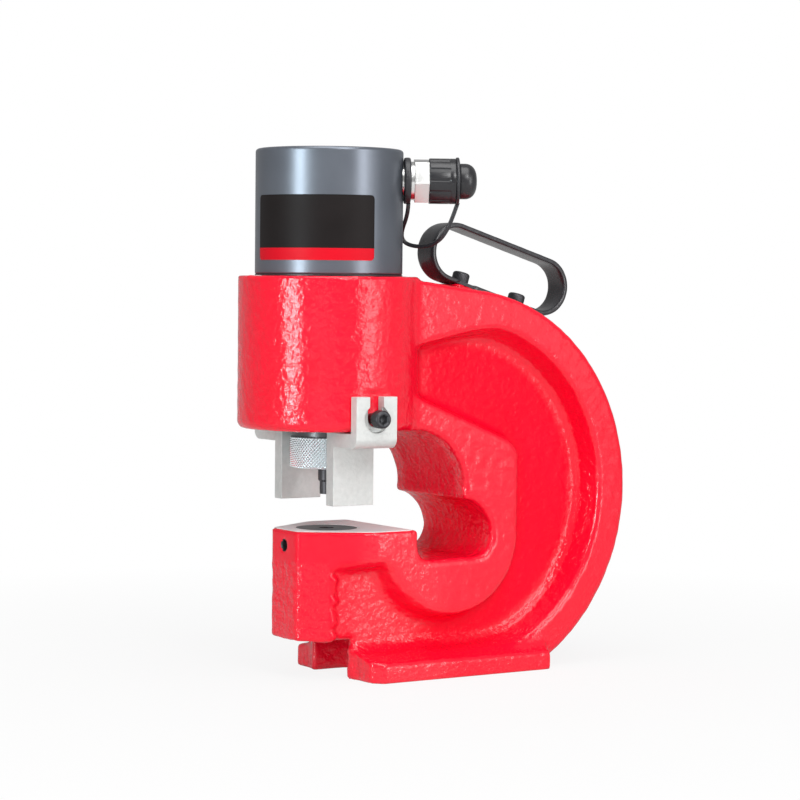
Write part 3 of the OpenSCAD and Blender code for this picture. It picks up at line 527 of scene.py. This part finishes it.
ball = np.sqrt(((np.indices((9, 9, 9)) - 4) ** 2).sum(0)) - 3
print("a test ball has", len(surface_net(ball, 0, 1)[0]), "points")

# %% [markdown]
# The net's points lie only near the surface, which would show as faint steps in the gloss. A finer grid
# would help, but it costs time with its third power. So each point is moved along the field's slope until
# it lies on the surface exactly, and a coarse grid is enough.

# %% Sample and settle
STEP = 2.1
LOW = np.array([-71.0, -68.3, -4.1])
COUNT = (151, 66, 144)


def rise(distance, points, h):
    """How much a field grows along x, y and z from h before each point to h behind it."""
    return np.array([distance(*(points + d).T) - distance(*(points - d).T) for d in np.eye(3) * h]).T


def settle(points, distance, rounds=4, h=0.05):
    """Moves points along the slope of a distance field until they lie on its zero surface."""
    for _ in range(rounds):
        slope = rise(distance, points, h) / (2 * h)
        push = distance(*points.T)[:, None] * slope / np.maximum((slope**2).sum(1), 0.3)[:, None]
        points = points - np.clip(push, -1, 1)
    return points


gx, gy, gz = (LOW[k] + STEP * np.arange(COUNT[k]) for k in range(3))
field = casting(gx[:, None, None], gy[None, :, None], gz[None, None, :])
points, quads = surface_net(field, LOW, STEP)
points = settle(points, casting)
print("casting:", len(points), "points on the surface")

# %% [markdown]
# ## The cast skin
# Sand leaves lumps on a casting, and paint doesn't hide them. A Displace modifier with a noise texture
# could make them, but it can't tell one part of the frame from another. Here a sum of many plane waves
# with random directions gives lumps without a visible pattern, and masks from the field's own outlines
# set their height: strong in the throat, the jaw's pockets and the slot, weak on the ground facets, and
# none on machined seats.

# %% Lumps and masks
def lumps(points):
    """The sum of forty plane waves 7 to 16 mm long, each with its own direction and phase, in mm."""
    draw = np.random.default_rng(3)
    way = draw.normal(size=(40, 3))
    way *= (2 * np.pi / draw.uniform(7, 16, 40) / np.linalg.norm(way, axis=1))[:, None]
    return 0.018 * np.sin(points @ way.T + draw.uniform(0, 2 * np.pi, 40)).sum(1)


def machined(x, y, z):
    """True on the bores, the anvil's top, the stripper seats, the set screw's hole and the underside."""
    radius = np.hypot(x, y)
    bore = (radius < 50) & ((z > 150) | (radius < 24) & (z > 29))
    hole = (np.hypot(y, z - SET_SCREW_Z) < 4.6) & (x < 0)
    seat = (np.abs(y) > 64.7) & (z > 150) & (z < SEAT_TOP)
    return bore | hole | (np.abs(z - ANVIL_Z) < 0.3) | seat | (z < 0.3)


def in_throat(x, z, reach):
    """True within a reach in mm of the throat's outline, apart from its open front."""
    return (np.abs(throat_outline(x, z)) < reach) & (x > 40)


def in_hollows(x, y, z):
    """True on the floor of the jaw's pockets and inside the slot under the jaw."""
    w = np.abs(y)
    return (w < 31) & (z < 86) & (x < 70) | (z < 30) & (w < 45)


def sanded(x, z):
    """One on most of the frame, falling to 0.3 towards the ground facets of the jaw."""
    return np.where(z > 130, 1, np.clip((x + 4) / 16, 0.3, 1))


print("lumps up to", round(float(np.abs(lumps(points)).max()), 2), "mm")

# %% [markdown]
# The lumps push each point along the surface's slope, so that walls stay where they are on average. The
# bores and the set screw's hole were never painted, so their faces get a second material slot of near-black
# steel, whose dark colour is painted shade inside them. That could be a separate mesh, but a slot keeps
# the casting in one closed piece.

# %% Cast frame
def in_mm(values):
    """Coordinates x, y and z in mm about the punch axis, from a flat array in metres of the CAD frame."""
    return ((values.reshape(-1, 3) - (AXIS_X, 0, 0)) * 1000).T


x, y, z = points.T
slope = rise(casting, points, 0.4)
slope /= np.maximum(np.linalg.norm(slope, axis=1, keepdims=True), 0.1)
height = np.where(in_throat(x, z, 2) | in_hollows(x, y, z), 1.8, sanded(x, z))
points = points + slope * (height * ~machined(x, y, z) * lumps(points))[:, None]
cast_frame = piece("cast_frame", points, quads, red_paint, "frame", ["casting_body"])
# The second slot is near-black steel: the bores are unpainted, and their dark colour is painted shade
# inside the holes.
cast_frame.data.materials.append(black_steel)
middle = np.empty(3 * len(cast_frame.data.polygons))
cast_frame.data.polygons.foreach_get("center", middle)
x, y, z = in_mm(middle)
bare_and_shaded = machined(x, y, z) & (z > 1) & (np.abs(y) < 60) & (np.abs(z - ANVIL_Z) > 0.3)
cast_frame.data.polygons.foreach_set("material_index", bare_and_shaded.astype(np.int32))
print("bare faces:", int(bare_and_shaded.sum()))

# %% [markdown]
# The paint isn't the same everywhere: it is smooth on the jaw's facets and the flat sides, wrinkled in
# the throat, and it dried duller in the pockets behind the boss. A painted image could hold this, but it
# needs unwrapping. Two numbers stored on the points as attributes follow the shape by themselves, and the
# material reads them by name: "grain" is the depth of the bump in metres, and "gloss" the strength of the
# reflection.

# %% Grain and gloss of the paint
where = np.empty(3 * len(cast_frame.data.vertices))
cast_frame.data.vertices.foreach_get("co", where)
x, y, z = in_mm(where)
w = np.abs(y)
grain = np.where(in_throat(x, z, 3), 2.5, sanded(x, z))
grain = np.where(in_hollows(x, y, z), 1.8, grain)
sunk = np.clip((40 - w) / 8, 0, 1) * np.clip((x - 45) / 30, 0, 1)
sunk = sunk * np.clip((114 - np.hypot(x - BACK[0], z - BACK[1])) / 6, 0, 1)
jaw = np.clip(x / 10, 0, 1) * np.clip((80 - x) / 20, 0, 1) * np.clip((115 - z) / 5, 0, 1)
flat_side = np.clip((w - 42) / 4, 0, 1) * np.clip((x - 58) / 8, 0, 1) * (z > 30)
bump_depth = PAINT_BUMP * grain * (1 - 0.45 * flat_side)
gloss = 0.2 + 0.25 * np.minimum(grain, 1) - 0.38 * sunk + 0.2 * jaw

tree = red_paint.node_tree
shader = tree.nodes["Principled BSDF"]
bumps = next(found for found in tree.nodes if found.type == "BUMP")
shader.inputs["Specular IOR Level"].default_value = 0.4
for name, values, socket in (
    ("grain", bump_depth, bumps.inputs["Distance"]),
    ("gloss", gloss, shader.inputs["Specular IOR Level"]),
):
    stored = cast_frame.data.attributes.new(name, "FLOAT", "POINT")
    stored.data.foreach_set("value", values.astype(np.float32))
    read = node(tree, "Attribute", {"attribute_name": name})
    tree.links.new(read.outputs["Fac"], socket)
    print(name, round(float(values.min()), 4), "to", round(float(values.max()), 4))

# %% [markdown]
# ## Surfaces as grids
# The other new pieces are turned on a lathe, rolled or moulded, so each is a grid of points over two
# parameters. Blender's Screw and Curve tools could make some of them, but a formula also allows radii
# that change with the angle, as in a knurl or a hexagon socket. These helpers list the quads of a grid,
# turn a profile round an axis, close the ends of a tube and draw a rounded rectangle.

# %% Grid helpers
def grid(rows, cols, close_rows=False, close_cols=False):
    """Quads between neighbours of a grid; a closed direction joins its last line to its first."""
    i = np.arange(rows if close_rows else rows - 1)[:, None]
    j = np.arange(cols if close_cols else cols - 1)[None, :]
    i2, j2 = (i + 1) % rows, (j + 1) % cols
    corners = np.broadcast_arrays(i * cols + j, i * cols + j2, i2 * cols + j2, i2 * cols + j)
    return np.stack(corners, -1).reshape(-1, 4)


def round_angles(count):
    """Equal steps of angle once round a circle."""
    return np.linspace(0, 2 * np.pi, count, endpoint=False)


def turned(r, z, angle):
    """Points (r cos a, r sin a, z) for radii of shape (rows, cols), heights (rows, 1) and angles (cols)."""
    r, z, angle = np.broadcast_arrays(r, z, angle)
    return np.stack((r * np.cos(angle), r * np.sin(angle), z), -1)


def profile_rows(profile, angle):
    """Radii (rows, cols) and heights (rows, 1) of a profile of radii (or one per angle) and heights."""
    r = np.array([np.broadcast_to(row[0], angle.shape) for row in profile], float)
    return r, np.array([[row[1]] for row in profile], float)


def capped(tube):
    """A tube of rings (rows, cols, 3), closed by one more ring drawn together in each end's middle."""
    middle = np.repeat(tube.mean(1, keepdims=True), tube.shape[1], 1)
    return np.concatenate((middle[:1], tube, middle[-1:]))


def squared(wave, power):
    """A sine or cosine to a power below one, its sign kept: this makes a circle a superellipse."""
    return np.sign(wave) * np.abs(wave) ** power


print("a closed grid of 3 by 4 has", len(grid(3, 4, True, True)), "quads")

# %% [markdown]
# ## The anvil face
# The top of the lower jaw is milled flat for the work to lie on, so it is bare steel inside a red edge. Its
# pale, hardly metallic colour is a painted reflection of the white surroundings. A second material on the
# casting would do, but its border would follow the casting's coarse faces. So it is a thin sheet of its
# own. Its outline is a distance for each direction: every side of the face lets a ray run to d /
# cos(angle), the nearest side wins, and a mean with a high power rounds the corners between the sides.

# %% Anvil face
# Each side: its distance from the punch axis, and its direction in degrees
SIDES = ((34.9, 180), (33.7, 122), (33.7, -122), (47.2, 90), (47.2, -90), (46, 0))
CORNER_POWER = 30
DIE_R = 22.6

angle = np.radians(np.arange(0, 360, 1.0))
near = [np.maximum(np.cos(angle - math.radians(a)), 0) / d for d, a in SIDES]
edge = np.sum(np.array(near) ** CORNER_POWER, 0) ** (-1 / CORNER_POWER)
share = np.linspace(1, 0, 12)[:, None]
face = turned(DIE_R + (edge - DIE_R) * share, np.full_like(share, ANVIL_Z + 0.06), angle)
faces = grid(12, 360, close_cols=True)
anvil = piece("anvil_face", face.reshape(-1, 3), faces, bare_steel_painted_reflection, "frame")
thicken(anvil, 0.0003)

# %% [markdown]
# ## The knurled nut
# The nut holds the punch on the ram and is tightened by hand, so a knurling wheel has pressed two sets of
# crossing grooves into it, which leaves rows of little pyramids. A bump map could suggest them, but they
# show in the nut's outline. A grid with two points for each pyramid is enough: its points are high and
# low in turn, like a chessboard. Each quad is split along its low corners, where the groove runs, and the
# facets are shaded flat so that they glitter.

# %% Punch nut
DIAMONDS = 66
KNURL_ROWS = 16
KNURL_R, KNURL_DEPTH, KNURL_PITCH = 26.6, 0.9, 1.36

angle = round_angles(DIAMONDS * 2)
side_step = np.arange(DIAMONDS * 2)
below = [(7.6, 153.7), (26.4, 153.7), (27.2, 154.5)]
knurl = [(KNURL_R + KNURL_DEPTH * ((side_step + k) % 2), 155 + KNURL_PITCH * k) for k in range(KNURL_ROWS)]
above = [(27.2, 175.9), (26.4, 176.7), (20.1, 176.7), (20.1, 158), (7.6, 158)]
r, z = profile_rows(below + knurl + above, angle)
quads = grid(*r.shape, True, True)
corner = r.ravel()[quads]
along_low = corner[:, [0, 2]].sum(1) > corner[:, [1, 3]].sum(1)
quads = np.where(along_low[:, None], np.roll(quads, -1, 1), quads)
facets = np.concatenate((quads[:, [0, 1, 2]], quads[:, [0, 2, 3]]))
nut = turned(r, z, angle).reshape(-1, 3)
piece("knurled_nut", nut, facets, knurl_steel, "nut", ["punch_nut"], smooth=False)

# %% [markdown]
# ## Socket screws
# Two socket screws hold the strippers and two the handle. Such a screw is turned too, but two stretches
# of its profile depend on the angle: fine ridges round the head for the fingers, and the six flats of the
# socket, where the radius is the half width over the cosine of the angle to the nearest flat. A boolean
# with a hexagon could cut the socket, but one grid stays closed by itself. One screw is made and then
# placed twice.

# %% Screw shape
def saw(t):
    """A triangle wave from 0 to 1 and back over each whole step of t."""
    return np.abs(2 * (t % 1) - 1)


def socket_screw(length):
    """Points and quads of a screw with an 8 mm shank and a 13 mm head standing on z = 0."""
    angle = round_angles(144)
    ridges = 6.5 - 0.22 * saw(angle * 36 / (2 * np.pi))
    socket = 3 / np.cos((angle + np.pi / 6) % (np.pi / 3) - np.pi / 6)
    shank = [(0, -length), (3.5, -length), (4, 0.6 - length), (4, 0)]
    head = [(6, 0), (6.3, 0.3), (ridges, 0.6), (ridges, 6.7), (6.3, 7.1), (6.05, 7.6), (5.5, 8)]
    hexagon = [(socket + 0.4, 8), (socket, 7.6), (socket, 4), (0, 4)]
    r, z = profile_rows(shank + head + hexagon, angle)
    return turned(r, z, angle).reshape(-1, 3), grid(*r.shape, close_cols=True)


print("a screw has", len(socket_screw(20)[0]), "points")

# %% Screws in place
def placed(points, at, x_way, z_way):
    """Points moved so that their x and z axes run along two given directions from a given place."""
    x_way, z_way = np.array(x_way, float), np.array(z_way, float)
    return points @ np.array([x_way, np.cross(z_way, x_way), z_way]) + at


def screw_pair(name, length, places, cad_node):
    """Two equal screws in one piece, each given by its place and its x and z directions."""
    screw, faces = socket_screw(length)
    both = np.concatenate([placed(screw, *place) for place in places])
    pair = np.concatenate((faces, faces + len(screw)))
    piece(name, both, pair, black_steel, "frame", [cad_node])


TILT = math.radians(PAD[2])
SEAT = np.array([140.4, 0, 278.57])
ALONG = np.array([math.cos(TILT), 0, -math.sin(TILT)])
OUT = np.array([math.sin(TILT), 0, math.cos(TILT)])
EAR_X, EAR_Y, EAR_Z = -3, 74.3, 192.5
LOOP_SCREW_OFF, STRAP_TOP = 27, 3.3
ear_places = [((EAR_X, side * EAR_Y, EAR_Z), (1, 0, 0), (0, side, 0)) for side in (-1, 1)]
screw_pair("ear_screws", 23, ear_places, "stripper_screws")
loop_places = [(SEAT + side * LOOP_SCREW_OFF * ALONG + STRAP_TOP * OUT, ALONG, OUT) for side in (-1, 1)]
screw_pair("loop_screws", 17, loop_places, "handle_screws")

# %% [markdown]
# ## The rubber sleeve of the handle
# The handle is a steel strap bent into a loop, and a rubber sleeve makes it kind to the hand. Near the
# screws the sleeve was cut away roughly, which leaves torn ends and a torn strip between them. A bevelled
# curve could make the sleeve, but not its torn ends. So a flat profile is moved along the loop: a
# superellipse whose power 2/5 makes it nearly a rectangle. The loop is two straights and two half
# circles, measured by the distance run from the middle of the lower straight.

# %% The handle's loop
LOOP_R, STRAIGHT, STRAP_MIDDLE = 20.4, 42.5, 2.1
ARC = math.pi * LOOP_R
LOOP = 4 * STRAIGHT + 2 * ARC


def loop_path(run):
    """Place and outward direction in the loop's plane after a run from the middle of its lower straight."""
    run = run % LOOP
    stops = np.cumsum([STRAIGHT, ARC, 2 * STRAIGHT, ARC])
    stretch = [run < stop for stop in stops]
    left = (run - stops[0]) / LOOP_R
    right = (run - stops[2]) / LOOP_R
    left_x, right_x = -STRAIGHT - LOOP_R * np.sin(left), STRAIGHT + LOOP_R * np.sin(right)
    left_z, right_z = LOOP_R * (1 - np.cos(left)), LOOP_R * (1 + np.cos(right))
    x = np.select(stretch, [-run, left_x, run - stops[1] - STRAIGHT, right_x], LOOP - run)
    z = np.select(stretch, [0 * run, left_z, 0 * run + 2 * LOOP_R, right_z], 0 * run)
    out = np.stack((x - np.clip(x, -STRAIGHT, STRAIGHT), z - LOOP_R), -1)
    return x, z + STRAP_MIDDLE, out / np.linalg.norm(out, axis=-1, keepdims=True)


print("loop", round(LOOP, 1), "mm round")

# %% [markdown]
# Along the sleeve the profile swells and shrinks a little, as soft rubber does, and at both ends it draws
# in to the strap. The ends are torn by sliding their last points along the loop by a sum of three sine
# waves. A random edge would look much the same, but the waves close round the profile without a step.

# %% Rubber sleeve
def sleeve(first, last, rows):
    """A superellipse 22 by 4.4 mm moved along the loop; it shrinks onto the strap at both torn ends."""
    t = round_angles(48)[None, :]
    share = np.linspace(0, 1, rows)[:, None]
    torn = 1.1 * np.sin(3 * t + 1) + 0.8 * np.sin(7 * t) + 0.5 * np.sin(13 * t + 2)
    run = first + (last - first) * share + torn * (2 * share - 1) ** 8
    end = np.minimum(1, np.minimum(share, 1 - share) * (rows - 1) / 2)
    fat = 1 + 0.03 * np.sin(run / 3.1) + 0.02 * np.sin(run / 1.3 + 3 * t)
    wide = (10.1 + 0.85 * end * fat) * squared(np.cos(t), 0.4)
    thick = (1.25 + 0.9 * end * fat) * squared(np.sin(t), 0.4)
    x, z, out = loop_path(run)
    x, z = x + thick * out[..., 0], z + thick * out[..., 1]
    points = SEAT + x[..., None] * ALONG + z[..., None] * OUT
    points[..., 1] = wide
    return capped(points).reshape(-1, 3), grid(rows + 2, 48, close_cols=True)


SLEEVE_END, STRIP_END = 34.6, 19.6
long_sleeve, faces = sleeve(SLEEVE_END, LOOP - SLEEVE_END, 240)
strip, strip_faces = sleeve(LOOP - STRIP_END, LOOP + STRIP_END, 40)
both = np.concatenate((long_sleeve, strip))
faces = np.concatenate((faces, strip_faces + len(long_sleeve)))
piece("rubber_sleeve", both, faces, black_vinyl, "frame", ["handle_rubber"])

# %% [markdown]
# ## The plate on the cylinder
# The cylinder carries a thin curved plate with round corners: a black field with a red band along its
# foot. The band could be a piece of its own, but it is only printed. So the material compares the height
# of each point with the band's upper edge, and mixes the two colours by the answer.

# %% Plate finish
BAND_TOP = 0.3135

label = finish_of("label", (0.008, 0.006, 0.006), (0.014, 0.011, 0.011), 0.5, 0, 40)
tree = label.node_tree
where = node(tree, "TexCoord")
split = node(tree, "SeparateXYZ")
in_band = node(tree, "Math", {"operation": "LESS_THAN"}, {1: BAND_TOP})
band = node(tree, "Mix", {"data_type": "RGBA"}, {MIX_B: (0.62, 0.003, 0.015, 1)})
shader = tree.nodes["Principled BSDF"]
shader.inputs["Specular IOR Level"].default_value = 0.12
black_field = shader.inputs["Base Color"].links[0].from_socket
tree.links.new(where.outputs["Object"], split.inputs[0])
tree.links.new(split.outputs["Z"], in_band.inputs[0])
tree.links.new(in_band.outputs[0], band.inputs[0])
tree.links.new(black_field, band.inputs[MIX_A])
tree.links.new(band.outputs[MIX_RESULT], shader.inputs["Base Color"])
print("band up to", BAND_TOP, "m")

# %% [markdown]
# The plate's shape could be a flat sheet bent by a modifier. A grid wrapped round the axis follows the
# cylinder exactly, and each row spans an angle that shortens near the corners as a circle does. A
# Solidify modifier then gives it the thickness of sheet metal.

# %% Curved plate
CORNER = 3.0
PLATE_Z, PLATE_HALF_H, PLATE_HALF_W = 328.15, 23.35, 49
PLATE_R, PLATE_ANGLE = 54.2, math.radians(-136.2)

z = PLATE_Z + PLATE_HALF_H * np.sin(np.linspace(-np.pi / 2, np.pi / 2, 41))[:, None]
past = np.maximum(np.abs(z - PLATE_Z) - (PLATE_HALF_H - CORNER), 0)
half = PLATE_HALF_W - CORNER + np.sqrt(np.maximum(CORNER**2 - past**2, 0))
across = np.linspace(-1, 1, 121) * half
plate = turned(PLATE_R, z, PLATE_ANGLE + across / PLATE_R)
faces = grid(41, 121)
label_plate = piece("label_plate", plate.reshape(-1, 3), faces, label, "frame")
thicken(label_plate, 0.0004)

# %% [markdown]
# ## The dust cap
# The cap keeps dirt out of the coupler while no hose is on it. It is moulded plastic: a grooved grip, a
# waist for the tether's ring and a domed knob. The CAD node has these forms with plain edges, and a Bevel
# could soften them. A grid turned round the coupler's axis gives the dome and the soft edges in one
# closed surface. The grooves are arcs taken off the radius, so they only change the rows along the grip.

# %% Dust cap
PORT = math.radians(-30)
PORT_Z = 363.88
PORT_WAY = np.array([math.cos(PORT), math.sin(PORT), 0])
PORT_SIDE = np.array([-math.sin(PORT), math.cos(PORT), 0])
CAP_R, CAP_BORE_R, WAIST_R, KNOB_R = 16.6, 12.05, 10.75, 13
GROOVE_R, GROOVE_OUT = 1.3, 0.65


def on_port(points):
    """Points of a piece turned round z, moved to stand on the coupler's axis."""
    return placed(points, (0, 0, PORT_Z), PORT_SIDE, PORT_WAY)


angle = round_angles(288)
off = CAP_R * ((angle + np.pi / 12) % (np.pi / 6) - np.pi / 12)
grip = CAP_R - np.maximum(np.sqrt(np.maximum(GROOVE_R**2 - off**2, 0)) - GROOVE_OUT, 0)
bore = [(0, 90.8), (CAP_BORE_R, 90.8), (CAP_BORE_R, 72.8)]
sides = [(grip - 0.5, 72.8), (grip - 0.15, 72.95), (grip, 73.4), (grip, 87.4), (16.45, 88.1), (CAP_R, 88.5)]
waist = [(CAP_R, 91.7), (16.4, 92.15), (16, 92.3), (WAIST_R, 92.3), (WAIST_R, 94.9)]
knob = [(12.2, 94.9), (12.8, 95.2), (KNOB_R, 95.8)]
for a in np.radians(np.arange(0, 90, 9)):
    knob.append((KNOB_R * math.cos(a) ** 0.7, 99.4 + 8.5 * math.sin(a)))
r, z = profile_rows(bore + sides + waist + knob + [(0, 107.9)], angle)
cap = on_port(turned(r, z, angle).reshape(-1, 3))
faces = grid(*r.shape, close_cols=True)
piece("cap_shell", cap, faces, black_plastic, "cap", ["dust_cap"])

# %% [markdown]
# ## The tether's rings
# One rubber ring hugs the neck of the coupler and one the waist of the cap, so that the cap isn't lost. A
# torus would be too round: moulded rubber has flat sides with round edges. So each ring is a superellipse
# turned round the coupler's axis.

# %% Rubber rings
def rubber_ring(name, inner, outer, low, high, body, cad_node):
    """A superellipse of power 1/2 between two radii and two distances along the coupler's axis."""
    t = round_angles(32)[:, None]
    r = (inner + outer) / 2 + (outer - inner) / 2 * squared(np.cos(t), 0.5)
    z = (low + high) / 2 + (high - low) / 2 * squared(np.sin(t), 0.5)
    ring = on_port(turned(r, z, round_angles(96)).reshape(-1, 3))
    piece(name, ring, grid(32, 96, True, True), black_rubber, body, [cad_node])


rubber_ring("neck_loop", 10.8, 17, 54.3, 59.4, "frame", "neck_ring")
rubber_ring("cap_loop", 10.8, 17.5, 92.3, 94.9, "cap", "cap_ring")

# %% [markdown]
# ## The cap's tether
# A rubber strap runs from the ring on the neck to the ring on the dust cap. A Bezier curve with handles
# could draw it, but the CAD solid already has a list of chosen points. So its centre line is a smooth
# curve through the same points, by the Catmull-Rom formula, and it lies where the solid lies.

# %% The tether's line
ROUTE = np.array([
    (58, 0, 347.5), (57.6, 4, 341.5), (56.6, 9.5, 336), (55.2, 15, 331), (54.4, 19.5, 326.5),
    (54.8, 22, 322.5), (57, 22.5, 319.3), (61, 21, 317.3), (66, 18, 316.4), (71.5, 14, 316.6),
    (77, 9.5, 318.2), (81.8, 5.5, 321.6), (85.4, 2.5, 326.4), (88.3, 0.8, 332.2), (90.8, 0, 338.6),
    (93.2, 0, 345.4), (94.2, 0, 348.4),
])


def smooth_line(stops, pieces):
    """Catmull-Rom: between two points the curve leaves along the line that joins their neighbours."""
    wide = np.concatenate((2 * stops[:1] - stops[1:2], stops, 2 * stops[-1:] - stops[-2:-1]))
    a, b, c, d = (wide[k:len(wide) - 3 + k, None] for k in range(4))
    t = np.linspace(0, 1, pieces, endpoint=False)[None, :, None]
    curve = b + 0.5 * t * (c - a + t * (2 * a - 5 * b + 4 * c - d + t * (3 * (b - c) + d - a)))
    return np.concatenate((curve.reshape(-1, 3), stops[-1:]))


stops = ROUTE[:, :1] * PORT_WAY + ROUTE[:, 1:2] * PORT_SIDE + ROUTE[:, 2:] * (0, 0, 1)
line = smooth_line(stops, 6)

# %% [markdown]
# The strap's section is a superellipse again, a little wider than thick, carried along the line with its
# flat side turned outwards.

# %% Tether
HALF_THICK, HALF_WIDE = 1.5, 1.8

way = np.gradient(line, axis=0)
way /= np.linalg.norm(way, axis=1, keepdims=True)
flat = np.cross(PORT_SIDE, way)
flat /= np.linalg.norm(flat, axis=1, keepdims=True)
wide = np.cross(way, flat)
t = round_angles(24)[None, :, None]
strap = line[:, None] + HALF_THICK * squared(np.cos(t), 0.5) * flat[:, None]
strap = capped(strap + HALF_WIDE * squared(np.sin(t), 0.5) * wide[:, None])
faces = grid(len(strap), 24, close_cols=True)
tether = piece("tether", strap.reshape(-1, 3), faces, black_rubber, None, ["cap_tether"])
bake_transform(tether)

# %% [markdown]
# ## The springs inside
# A return spring in the cylinder lifts the ram when the oil is let go, and a small one closes the
# coupler. Both are hidden, but they are pressed together when the ram or the poppet moves. Shape keys
# could shorten them; here each is only a merged copy of its CAD spring, with a mesh of its own.

# %% Springs
def pressed_copy(name, cad_node):
    """A merged copy of a CAD spring, with a mesh of its own."""
    made = merged_copy(name, cad_node, "frame")
    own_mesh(made)


pressed_copy("ram_spring", "return_spring")
pressed_copy(
    "poppet_coil", "coupler_poppet_spring")

# %% [markdown]
# ## The white ground
# The photograph has a white ground with a soft shadow under the foot. Strong lamps could bleach the
# floor, but they would bleach the tool as well. So the Light Path node tells apart which ray asks: to the
# camera the floor glows white, in reflections it shows a share of that, and for all other light it is a
# plain pale sheet. Near the tool it keeps a little of its own shading, as a shadow under the foot.

# %% Floor sheet
HALF = 40
floor_mesh = bpy.data.meshes.new("floor")
floor_corners = [(-HALF, -HALF, 0), (HALF, -HALF, 0), (HALF, HALF, 0), (-HALF, HALF, 0)]
floor_mesh.from_pydata(floor_corners, [], [(0, 1, 2, 3)])
floor = bpy.data.objects.new("floor", floor_mesh)
bpy.context.scene.collection.objects.link(floor)
print("floor", 2 * HALF, "m wide")

# %% Floor finish
SHADE_NEAR, SHADE_FAR = 0.2, 0.7


def looks_there(tree, in_gloss):
    """One for rays from the camera or through glass, a share for rays off a gloss, else nothing."""
    path = node(tree, "LightPath")
    share = node(tree, "Math", {"operation": "MULTIPLY"}, {1: in_gloss})
    tree.links.new(path.outputs["Is Glossy Ray"], share.inputs[0])
    total = share.outputs[0]
    for ray in ("Is Camera Ray", "Is Transmission Ray"):
        either = node(tree, "Math", {"operation": "MAXIMUM"})
        tree.links.new(total, either.inputs[0])
        tree.links.new(path.outputs[ray], either.inputs[1])
        total = either.outputs[0]
    return total


white = finish_of("white_floor", (0.64, 0.64, 0.64), (0.68, 0.68, 0.68), 0.7, 0, 3)
tree = white.node_tree
glow = node(tree, "Emission")
where = node(tree, "TexCoord")
away = node(tree, "VectorMath", {"operation": "LENGTH"})
fade = node(tree, "MapRange", inputs={"From Min": SHADE_NEAR, "From Max": SHADE_FAR, "To Min": 0.88})
share = node(tree, "Math", {"operation": "MULTIPLY"})
either = node(tree, "MixShader")
tree.links.new(where.outputs["Object"], away.inputs[0])
tree.links.new(away.outputs["Value"], fade.inputs["Value"])
tree.links.new(fade.outputs["Result"], share.inputs[1])
tree.links.new(looks_there(tree, 0.4), share.inputs[0])
tree.links.new(share.outputs[0], either.inputs[0])
tree.links.new(tree.nodes["Principled BSDF"].outputs[0], either.inputs[1])
tree.links.new(glow.outputs[0], either.inputs[2])
tree.links.new(either.outputs[0], tree.nodes["Material Output"].inputs["Surface"])
floor_mesh.materials.append(white)
print("floor all white from", SHADE_FAR, "m")

# %% [markdown]
# The sky is the world's background, and it works like the floor: white to the camera, paler in
# reflections, and weak as a light, so that the lamps shape the tool. A picture of a studio could light it
# too, but plain white has no seams to reflect in the cylinder.

# %% Sky
SKY_LIGHT = 0.2

world = bpy.data.worlds.new("studio")
world.use_nodes = True
bpy.context.scene.world = world
tree = world.node_tree
sky = tree.nodes["Background"]
sky.inputs["Color"].default_value = (1, 1, 1, 1)
brightness = node(tree, "MapRange", inputs={"To Min": SKY_LIGHT, "To Max": 1.0})
tree.links.new(looks_there(tree, 0.25), brightness.inputs["Value"])
tree.links.new(brightness.outputs["Result"], sky.inputs["Strength"])
print("sky lights with", SKY_LIGHT)

# %% [markdown]
# ## Lamps
# The photograph shows soft light from the front and above, and two upright streaks on the round parts.
# One large lamp can't give both. So two narrow lamps left and right only show in reflections and draw the
# streaks, two others only fill the shade under the collar and on the nose, and the large ones light the
# side and top.

# %% Lamps
MIDDLE = (0, 0, 0.2)
COLLAR_MIDDLE = (-0.05, 0, 0.25)


def lamp(name, at, toward, width, height, power, shows=True, lights=True):
    """A rectangular lamp that faces a point; it may show in reflections, light surfaces or do both."""
    data = bpy.data.lights.new(name, "AREA")
    data.shape = "RECTANGLE"
    data.size = width
    data.size_y = height
    data.energy = power
    made = bpy.data.objects.new(name, data)
    bpy.context.scene.collection.objects.link(made)
    made.location = at
    made.rotation_mode = "QUATERNION"
    made.rotation_quaternion = (Vector(toward) - Vector(at)).to_track_quat("-Z", "Y")
    made.visible_glossy = shows
    made.visible_diffuse = lights
    return made


lamp("key", (-0.3, -1.75, 1.35), MIDDLE, 0.6, 0.6, 14)
lamp("low front", (-1.15, -1.45, 0.28), MIDDLE, 0.6, 0.5, 11, shows=False)
lamp("left fill", (-1.75, -0.2, 0.7), MIDDLE, 0.6, 0.8, 6, shows=False)
cool = lamp("left strip", (-1.6, -0.36, 0.5), COLLAR_MIDDLE, 0.18, 1.0, 17, lights=False)
cool.data.color = (0.86, 0.97, 1)
lamp("right strip", (0.5, -1.48, 0.45), COLLAR_MIDDLE, 0.4, 0.9, 5.5, lights=False)
lamp("right panel", (0.73, -1.42, 0.6), MIDDLE, 1.1, 1.1, 4)
lamp("top", (-0.25, -0.4, 1.7), MIDDLE, 1.3, 1.3, 20)
bpy.context.scene.view_settings.view_transform = "Standard"
print("lamps:", len(bpy.data.lights))
